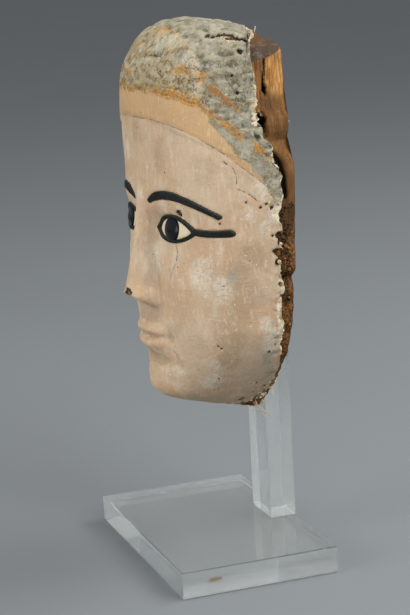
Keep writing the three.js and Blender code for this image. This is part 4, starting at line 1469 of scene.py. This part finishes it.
class MaskColours(bpy.types.PropertyGroup):
    """Colours of the mask and its stand"""

    flesh: colour_property("Flesh", "Paint of the face", (0.53, 0.39, 0.26))
    flesh_warm: colour_property("Warm flesh", "Warmer paint of the face", (0.50, 0.33, 0.20))
    flesh_stain: colour_property("Stained flesh", "Brownish paint of the face", (0.36, 0.24, 0.14))
    flesh_grey: colour_property("Grey flesh", "Greyer paint of the face", (0.44, 0.36, 0.26))
    flesh_pale: colour_property("Pale flesh", "Faded paint of the face", (0.62, 0.50, 0.37))
    chalk: colour_property("Chalk", "Whitish worn places", (0.66, 0.62, 0.52))
    cloth: colour_property("Cloth", "Head-cloth", (0.28, 0.205, 0.095))
    cloth_pale: colour_property("Pale cloth", "Paler head-cloth", (0.48, 0.40, 0.245))
    cloth_white: colour_property("White cloth", "Whitish places of the head-cloth", (0.60, 0.545, 0.385))
    cloth_shade: colour_property("Shaded cloth", "Grains of the head-cloth", (0.13, 0.103, 0.06))
    cloth_stain: colour_property("Cloth stain", "Stains of the cloth", (0.25, 0.186, 0.088))
    ochre: colour_property("Ochre", "Stripes", (0.54, 0.275, 0.065))
    ochre_dark: colour_property("Dark ochre", "Worn stripes", (0.30, 0.125, 0.022))
    ochre_pale: colour_property("Pale ochre", "Stained forehead", (0.50, 0.31, 0.145))
    grey_green: colour_property("Grey green", "Grey paint by the break", (0.195, 0.183, 0.117))
    blue_grey: colour_property("Blue grey", "Bluish worn places", (0.31, 0.30, 0.235))
    # Real dirt, and also the painted shade in the carving's hollows
    dirt_and_shade: colour_property("Dirt", "Light dirt", (0.30, 0.22, 0.14))
    dirt_dark: colour_property("Dark dirt", "Dark specks and lines", (0.06, 0.05, 0.035))
    # Holes and cracks, and also the painted shadow in the wood's gap behind the plaster and in its deep
    # holes
    hole: colour_property("Hole", "Holes and cracks", (0.008, 0.006, 0.004))
    gesso: colour_property("Ground", "Broken edge of the ground", (0.72, 0.64, 0.47))
    gesso_stain: colour_property("Stained ground", "Stained ground", (0.50, 0.38, 0.23))
    # Dark grain lines, and also the painted shade round the border of the plaster's losses
    wood_deep_and_shade: colour_property("Deep wood", "Dark lines in the grain", (0.045, 0.022, 0.01))
    wood_dark: colour_property("Dark wood", "Old wood", (0.13, 0.062, 0.024))
    wood_mid: colour_property("Wood", "Wood", (0.22, 0.105, 0.036))
    wood_warm: colour_property("Warm wood", "Orange-brown wood", (0.295, 0.138, 0.042))
    wood_pale: colour_property("Pale wood", "Dusty weathered wood", (0.24, 0.20, 0.155))
    bare_wood: colour_property("Bare wood", "Wood in the losses", (0.15, 0.095, 0.05))
    straw: colour_property("Straw", "Loose fibres", (0.62, 0.47, 0.28))
    wood_fresh: colour_property("Fresh wood", "Fresh breaks", (0.44, 0.20, 0.056))
    wood_light: colour_property("Light wood", "Lightest fibres", (0.80, 0.47, 0.18))
    wood_red: colour_property("Red wood", "Worm-eaten wood", (0.20, 0.085, 0.035))
    wood_grey: colour_property("Grey wood", "Weathered wood", (0.085, 0.066, 0.050))
    wood_brown: colour_property("Brown wood", "Weathered brown wood", (0.105, 0.056, 0.027))
    inlay: colour_property("Inlay", "Brows and eye rims", (0.003, 0.004, 0.003))
    # Painted highlight along the dark inlays' edges, and greenish bloom along them and in patches
    inlay_highlight_and_bloom: colour_property("Inlay edge", "Greenish bloom of the inlays", (0.035, 0.042, 0.03))
    eye_white: colour_property("Eye white", "Whites of the eyes", (0.62, 0.53, 0.36))
    eye_white_stain: colour_property("Stained white", "Stains of the whites", (0.48, 0.38, 0.23))
    pupil: colour_property("Pupil", "Pupils", (0.006, 0.007, 0.009))
    acrylic: colour_property("Acrylic", "Clear acrylic", (0.96, 0.985, 0.965))
    glue: colour_property("Glue", "Stain of old glue on the plate", (0.45, 0.20, 0.02))


class StageSettings(bpy.types.PropertyGroup):
    """Camera, floor and light"""

    lens: bpy.props.FloatProperty(name="Lens", description="Focal length", default=106.3)
    camera_place: bpy.props.FloatVectorProperty(
        name="Camera place", description="Where the camera is", unit="LENGTH",
        default=(1.26216, -0.42980, 0.47842),
    )
    azimuth: angle_property("Azimuth", "Towards the object's left", 71.1)
    elevation: angle_property("Elevation", "Above the horizon", 12.3)
    roll: angle_property("Roll", "Turn of the picture", -3.24)
    floor: colour_property("Floor", "Plain floor", (0.20, 0.213, 0.222))
    overhead_power: light_property("Overhead", "Top light in watts", 30)
    key_power: light_property("Key", "Side light in watts", 52)
    fill_power: light_property("Fill", "Front light in watts", 70)
    horizon: light_property("Horizon", "Even light from the sides", 0.30)
    zenith: light_property("Zenith", "Even light from above", 0.56)


# Operators


class MASK_OT_camera(bpy.types.Operator):
    """Make the camera that the photograph was taken from"""

    bl_idname = "mask.camera"
    bl_label = "Camera"

    def execute(self, context):
        stage = context.scene.mask_stage
        a, e, roll = stage.azimuth, stage.elevation, stage.roll
        back = Vector((sin(a) * cos(e), -cos(a) * cos(e), sin(e)))
        right = Vector((cos(a), sin(a), 0.0))
        up = back.cross(right)
        tilted_right = cos(roll) * right + sin(roll) * up
        tilted_up = cos(roll) * up - sin(roll) * right
        data = bpy.data.cameras.new("camera")
        data.lens, data.sensor_width = stage.lens, 36.0
        data.clip_start, data.clip_end = 0.05, 50.0
        camera = bpy.data.objects.new("camera", data)
        context.scene.collection.objects.link(camera)
        turned = Matrix((tilted_right, tilted_up, back)).transposed().to_4x4()
        camera.matrix_world = Matrix.Translation(stage.camera_place) @ turned
        context.scene.camera = camera
        return {"FINISHED"}


class MASK_OT_wood(bpy.types.Operator):
    """Build the carved block of wood"""

    bl_idname = "mask.wood"
    bl_label = "Wood"

    def execute(self, context):
        sizes, colours = context.scene.mask_sizes, context.scene.mask_colours
        points, faces, attributes = wood_mesh(sizes)
        material = wood_material(colours)
        piece = new_piece("carved_wood", placed(points, sizes), faces, material, attributes, sharp=55)
        finish_piece(piece, "wood_block")
        return {"FINISHED"}


class MASK_OT_plaster(bpy.types.Operator):
    """Build the painted plaster with its worn surface and broken edge"""

    bl_idname = "mask.plaster"
    bl_label = "Plaster"

    def execute(self, context):
        sizes, colours = context.scene.mask_sizes, context.scene.mask_colours
        points, faces, attributes = plaster_mesh(sizes)
        material = plaster_material(colours)
        piece = new_piece("painted_skin", placed(points, sizes), faces, material, attributes, sharp=50)
        finish_piece(piece, "plaster_skin")
        return {"FINISHED"}


def read_values(mesh, name):
    """One of a mesh's named values at each of its points."""
    values = np.zeros(len(mesh.vertices), np.float32)
    mesh.attributes[name].data.foreach_get("value", values)
    return values


def read_places(mesh):
    places = np.zeros(len(mesh.vertices) * 3, np.float32)
    mesh.vertices.foreach_get("co", places)
    return places.reshape(-1, 3).astype(float)


# Bundles of fibres: where they start, where they point, their length, spread and number
FIBRES = [
    ((24, -12, 11), (0.15, 0.1, -1.0), 5.0, 3.5, 9),
    ((31, -8, 15), (0.3, 0.2, -0.9), 4.0, 3.5, 7),
    ((20, -10, 9), (0.55, 0.55, -1.0), 15.0, 0.8, 2),
    ((40, -6, 25), (0.5, 0.1, -0.8), 4.0, 3.5, 8),
    ((88, -28, 236), (0.5, -0.4, -0.6), 4.0, 2.0, 4),
    ((90, -9, 226), (0.8, 0.4, 0.5), 3.5, 1.2, 5),
]
SPLINTERS = [((56, -14, 291.5), (0.1, 0.05, 1.0), 5.0), ((58, -15, 291.5), (-0.3, 0.1, 1.0), 3.0)]
# Heaps of crumbs of the ground: place, spread, size and number
CRUMB_HEAPS = [
    ((91, -34, 232.5), 1.5, 1.8, 7), ((91, -34, 229), 1.3, 1.5, 5),
    ((30, -10, 18), 4.0, 1.1, 12), ((40, -8, 27), 3.5, 0.9, 10),
    ((95, -25, 172), 4.0, 0.9, 14), ((93, -21, 160), 4.0, 0.8, 10),
]


class MASK_OT_scatter(bpy.types.Operator):
    """Scatter crumbs of plaster and wood and loose fibres along the break"""

    bl_idname = "mask.scatter"
    bl_label = "Crumbs and fibres"

    def fibres(self, chance, sizes, material, tree):
        turn = Matrix.Rotation(sizes.turn, 3, "Z")
        points, aims, stretches = [], [], []
        for start, aim, length, spread, count in FIBRES:
            for _ in range(count):
                points.append(np.array(start) + chance.normal(0, spread / 2, 3) * [1, 0.6, 1])
                aims.append(turn @ Vector(np.array(aim) + chance.normal(0, 0.35, 3)))
                reach = length * chance.uniform(0.5, 1.15)
                stretches.append((chance.uniform(2.5, 5), chance.uniform(2.5, 5), reach))
        for start, aim, length in SPLINTERS:
            points.append(start)
            aims.append(turn @ Vector(aim))
            stretches.append((14, 6, length))
        piece = scattered(
            "wood_fibres", tree, placed(points, sizes), aims, np.array(stretches) * MM,
            {"Thickness": 0.05, "Unevenness": 0.03, "Material": material, "Seed": 3},
            {"fresh": 1.0, "light": 1.0, "facet": -9.0, "straw": 1.0},
        )
        finish_piece(piece, None)

    def plaster_crumbs(self, chance, sizes, skin, tree):
        edge, place = read_values(skin, "edge"), read_places(skin)
        height = (place[:, 2] - sizes.lift) / MM
        on_edge = (edge < -1) & (place[:, 0] > 0.01) & (place[:, 1] < sizes.back - 0.004)
        crumbling = np.abs(height - 95) < 45  # beside the worm-eaten wood
        taken = on_edge & (chance.uniform(size=len(edge)) < np.where(crumbling, 0.22, 0.1))
        picked = place[taken]
        size = chance.uniform(0.4, 1.0, len(picked)) ** 1.5 * np.where(crumbling[taken], 1.5, 1.1)
        heaps, heap_sizes = [], []
        for centre, spread, big, count in CRUMB_HEAPS:
            for _ in range(count):
                heaps.append(np.array(centre) + chance.normal(0, spread / 2, 3) * [0.4, 1, 1])
                heap_sizes.append(big * chance.uniform(0.4, 1.1))
        points = np.concatenate([picked, placed(heaps, sizes)])
        size = np.concatenate([size, heap_sizes])
        aims = chance.normal(0, 1, (len(points), 3))
        stretches = size[:, None] * chance.uniform(0.6, 1.3, (len(points), 3)) * MM
        piece = scattered(
            "plaster_crumbs", tree, points, aims, stretches,
            {"Thickness": 1.0, "Unevenness": 0.9, "Material": skin.materials[0], "Seed": 5},
            {"edge": -9.0, "bare": 9.0, "band": -99.0, "dark_line": -99.0, "crack": 9.0,
             "streak": 9.0, "upper_stripe": 99.0, "pock": 9.0},
        )
        finish_piece(piece, None)

    def wood_crumbs(self, chance, sizes, block, tree):
        low, place = read_values(block, "low"), read_places(block)
        shown = (low > 0.4) & (place[:, 0] > 0.03) & (read_values(block, "back") < 0.9)
        shown &= place[:, 1] > sizes.back - 0.022
        picked = place[shown & (chance.uniform(size=len(low)) < 0.16)]
        aims = chance.normal(0, 1, (len(picked), 3))
        size = chance.uniform(0.35, 1.0, len(picked)) ** 1.6 * 1.3
        stretches = size[:, None] * chance.uniform(0.6, 1.4, (len(picked), 3)) * MM
        piece = scattered(
            "wood_crumbs", tree, picked, aims, stretches,
            {"Thickness": 1.0, "Unevenness": 0.9, "Material": block.materials[0], "Seed": 8},
            {"low": 1.0, "facet": -9.0, "crumb": 0.4},
        )
        finish_piece(piece, None)

    def execute(self, context):
        sizes = context.scene.mask_sizes
        skin = bpy.data.objects["painted_skin"].data
        block = bpy.data.objects["carved_wood"].data
        chance = np.random.default_rng(sizes.seed)
        crumb_tree = scatter_tree("crumbs", False)
        self.fibres(chance, sizes, block.materials[0], scatter_tree("fibres", True))
        self.plaster_crumbs(chance, sizes, skin, crumb_tree)
        self.wood_crumbs(chance, sizes, block, crumb_tree)
        return {"FINISHED"}


class MASK_OT_inlays(bpy.types.Operator):
    """Build the brows and the eyes"""

    bl_idname = "mask.inlays"
    bl_label = "Brows and eyes"

    def execute(self, context):
        sizes, colours = context.scene.mask_sizes, context.scene.mask_colours
        step, proud = sizes.inlay_step / MM, sizes.inlay_proud / MM
        depth = sizes.inlay_depth / MM
        dark = inlay_material(
            "dark_stone", (colours.inlay, colours.inlay_highlight_and_bloom, colours.hole), 0.5, 0.5
        )
        white = inlay_material(
            "cream_stone", (colours.eye_white, colours.eye_white_stain, colours.dirt_and_shade), 0.35, 0.2
        )
        black = inlay_material("black_stone", [colours.pupil] * 3, 0.08, 0.02)

        def dome(x, z):
            away = np.hypot(x - EYE_PLACE[0], z - EYE_PLACE[1] - 1) / PUPIL_RADIUS
            return sizes.pupil_proud / MM * (1 - 0.55 * np.minimum(1, away) ** 2)

        def white_top(x, z):
            return -0.25 - 0.35 * ease(-1.4, 0, white_field(x, z))

        brow_top, rim_top = rounded(brow_field, proud, 0.9), rounded(rim_field, proud, 0.8)
        kinds = [
            ("brow", brow_field, (9, 80), (158, 184), brow_top, dark, "dark_inlay"),
            ("eye_rim", rim_field, (14, 85), (140, 168), rim_top, dark, "dark_inlay"),
            ("eye_white", white_field, (18, 58), (144, 162), white_top, white, "white_inlay"),
            ("pupil", pupil_field, (28, 48), (143, 163), dome, black, "pupil"),
        ]
        for name, field, x_range, z_range, top, material, slot in kinds:
            for side, word in ((1, "left"), (-1, "right")):
                points, faces = inlay_mesh(field, x_range, z_range, step, top, depth, side, sizes)
                # Nearness to the outline, where the dark inlays get their painted highlight and the
                # whites their stain
                edge = ease(-1.3, 0, field(np.abs(points[:, 0]), points[:, 2]))
                piece = new_piece(
                    f"{name}_inlay_{word}", placed(points, sizes), faces, material, {"inlay_edge": edge}
                )
                finish_piece(piece, f"{name}_{word}")
        return {"FINISHED"}


class MASK_OT_stand(bpy.types.Operator):
    """Give the stand its clear acrylic"""

    bl_idname = "mask.stand"
    bl_label = "Stand"

    def execute(self, context):
        material = acrylic_material(context.scene.mask_colours)
        for name in ("stand_bar", "stand_plate"):
            node = bpy.data.objects[name]
            node.data.materials.clear()
            node.data.materials.append(material)
        return {"FINISHED"}


class MASK_OT_stage(bpy.types.Operator):
    """Build the floor and the lights"""

    bl_idname = "mask.stage"
    bl_label = "Stage"

    def execute(self, context):
        scene, stage = context.scene, context.scene.mask_stage
        reach, corners = 16.0, 64
        below = 0.0004  # the floor touches the plate only here and there
        turns = [2 * pi * k / corners for k in range(corners)]
        points = [(reach * cos(a), reach * sin(a), -below) for a in turns]
        faces = [range(corners)]
        s = Shading("floor")
        cloudy = s.noise(420, 2)
        shade = tuple(c * 0.93 for c in stage.floor)
        material = s.finish(s.mix(cloudy, tuple(stage.floor), shade), 0.9, Specular_IOR_Level=0.1)
        floor = new_piece("floor", points, faces, material, sharp=60)
        lights = [
            ("overhead", (0.2, 1.5, 1.7), (0.0, 0.3, 0.0), 1.2, stage.overhead_power),
            ("key", (1.9, 0.75, 1.7), (0.0, 0.0, 0.25), 1.6, stage.key_power),
            ("fill", (0.6, -2.8, 0.95), (0.0, 0.0, 0.35), 2.0, stage.fill_power),
        ]
        for name, place, aim, size, power in lights:
            data = bpy.data.lights.new(name, "AREA")
            data.shape, data.size, data.energy = "SQUARE", size, power
            light = bpy.data.objects.new(name, data)
            light.location = place
            way = Vector(aim) - Vector(place)
            light.rotation_euler = way.to_track_quat("-Z", "Y").to_euler()
            scene.collection.objects.link(light)
        world = bpy.data.worlds.new("studio")
        world.use_nodes = True
        tree = world.node_tree
        view = add_node(tree, "ShaderNodeTexCoord")["Generated"]
        upward = add_node(tree, "ShaderNodeSeparateXYZ", {0: view})["Z"]
        strength = add_node(tree, "ShaderNodeMapRange", {
            "Value": upward, "To Min": stage.horizon, "To Max": stage.zenith,
        })[0]
        background = tree.nodes["Background"].inputs
        background["Color"].default_value = (0.94, 0.975, 1.0, 1.0)  # a cool white
        feed(tree, background["Strength"], strength)
        scene.world = world
        scene.view_settings.view_transform = "Standard"
        return {"FINISHED"}


class MASK_PT_panel(bpy.types.Panel):
    """Builds the mask and shows its settings"""

    bl_label = "Mummy Mask"
    bl_idname = "MASK_PT_panel"
    bl_space_type = "VIEW_3D"
    bl_region_type = "UI"
    bl_category = "Mask"

    def draw(self, context):
        layout = self.layout
        for operator in OPERATORS:
            layout.operator(operator.bl_idname)
        for group in (context.scene.mask_sizes, context.scene.mask_colours, context.scene.mask_stage):
            box = layout.box()
            for name in group.__annotations__:
                box.prop(group, name)


GROUPS = (MaskSizes, MaskColours, StageSettings)
OPERATORS = (
    MASK_OT_camera, MASK_OT_wood, MASK_OT_plaster, MASK_OT_scatter, MASK_OT_inlays,
    MASK_OT_stand, MASK_OT_stage,
)
CLASSES = (*GROUPS, *OPERATORS, MASK_PT_panel)


def register():
    for item in CLASSES:
        bpy.utils.register_class(item)
    bpy.types.Scene.mask_sizes = bpy.props.PointerProperty(type=MaskSizes)
    bpy.types.Scene.mask_colours = bpy.props.PointerProperty(type=MaskColours)
    bpy.types.Scene.mask_stage = bpy.props.PointerProperty(type=StageSettings)


def unregister():
    for name in ("mask_sizes", "mask_colours", "mask_stage"):
        delattr(bpy.types.Scene, name)
    for item in reversed(CLASSES):
        bpy.utils.unregister_class(item)


def write_sizes():
    """Brings the view layer up to date."""
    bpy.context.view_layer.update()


def main():
    register()
    bpy.ops.mask.camera()
    bpy.ops.mask.wood()
    bpy.ops.mask.plaster()
    bpy.ops.mask.scatter()
    bpy.ops.mask.inlays()
    bpy.ops.mask.stand()
    bpy.ops.mask.stage()
    write_sizes()


if __name__ == "__main__":
    main()
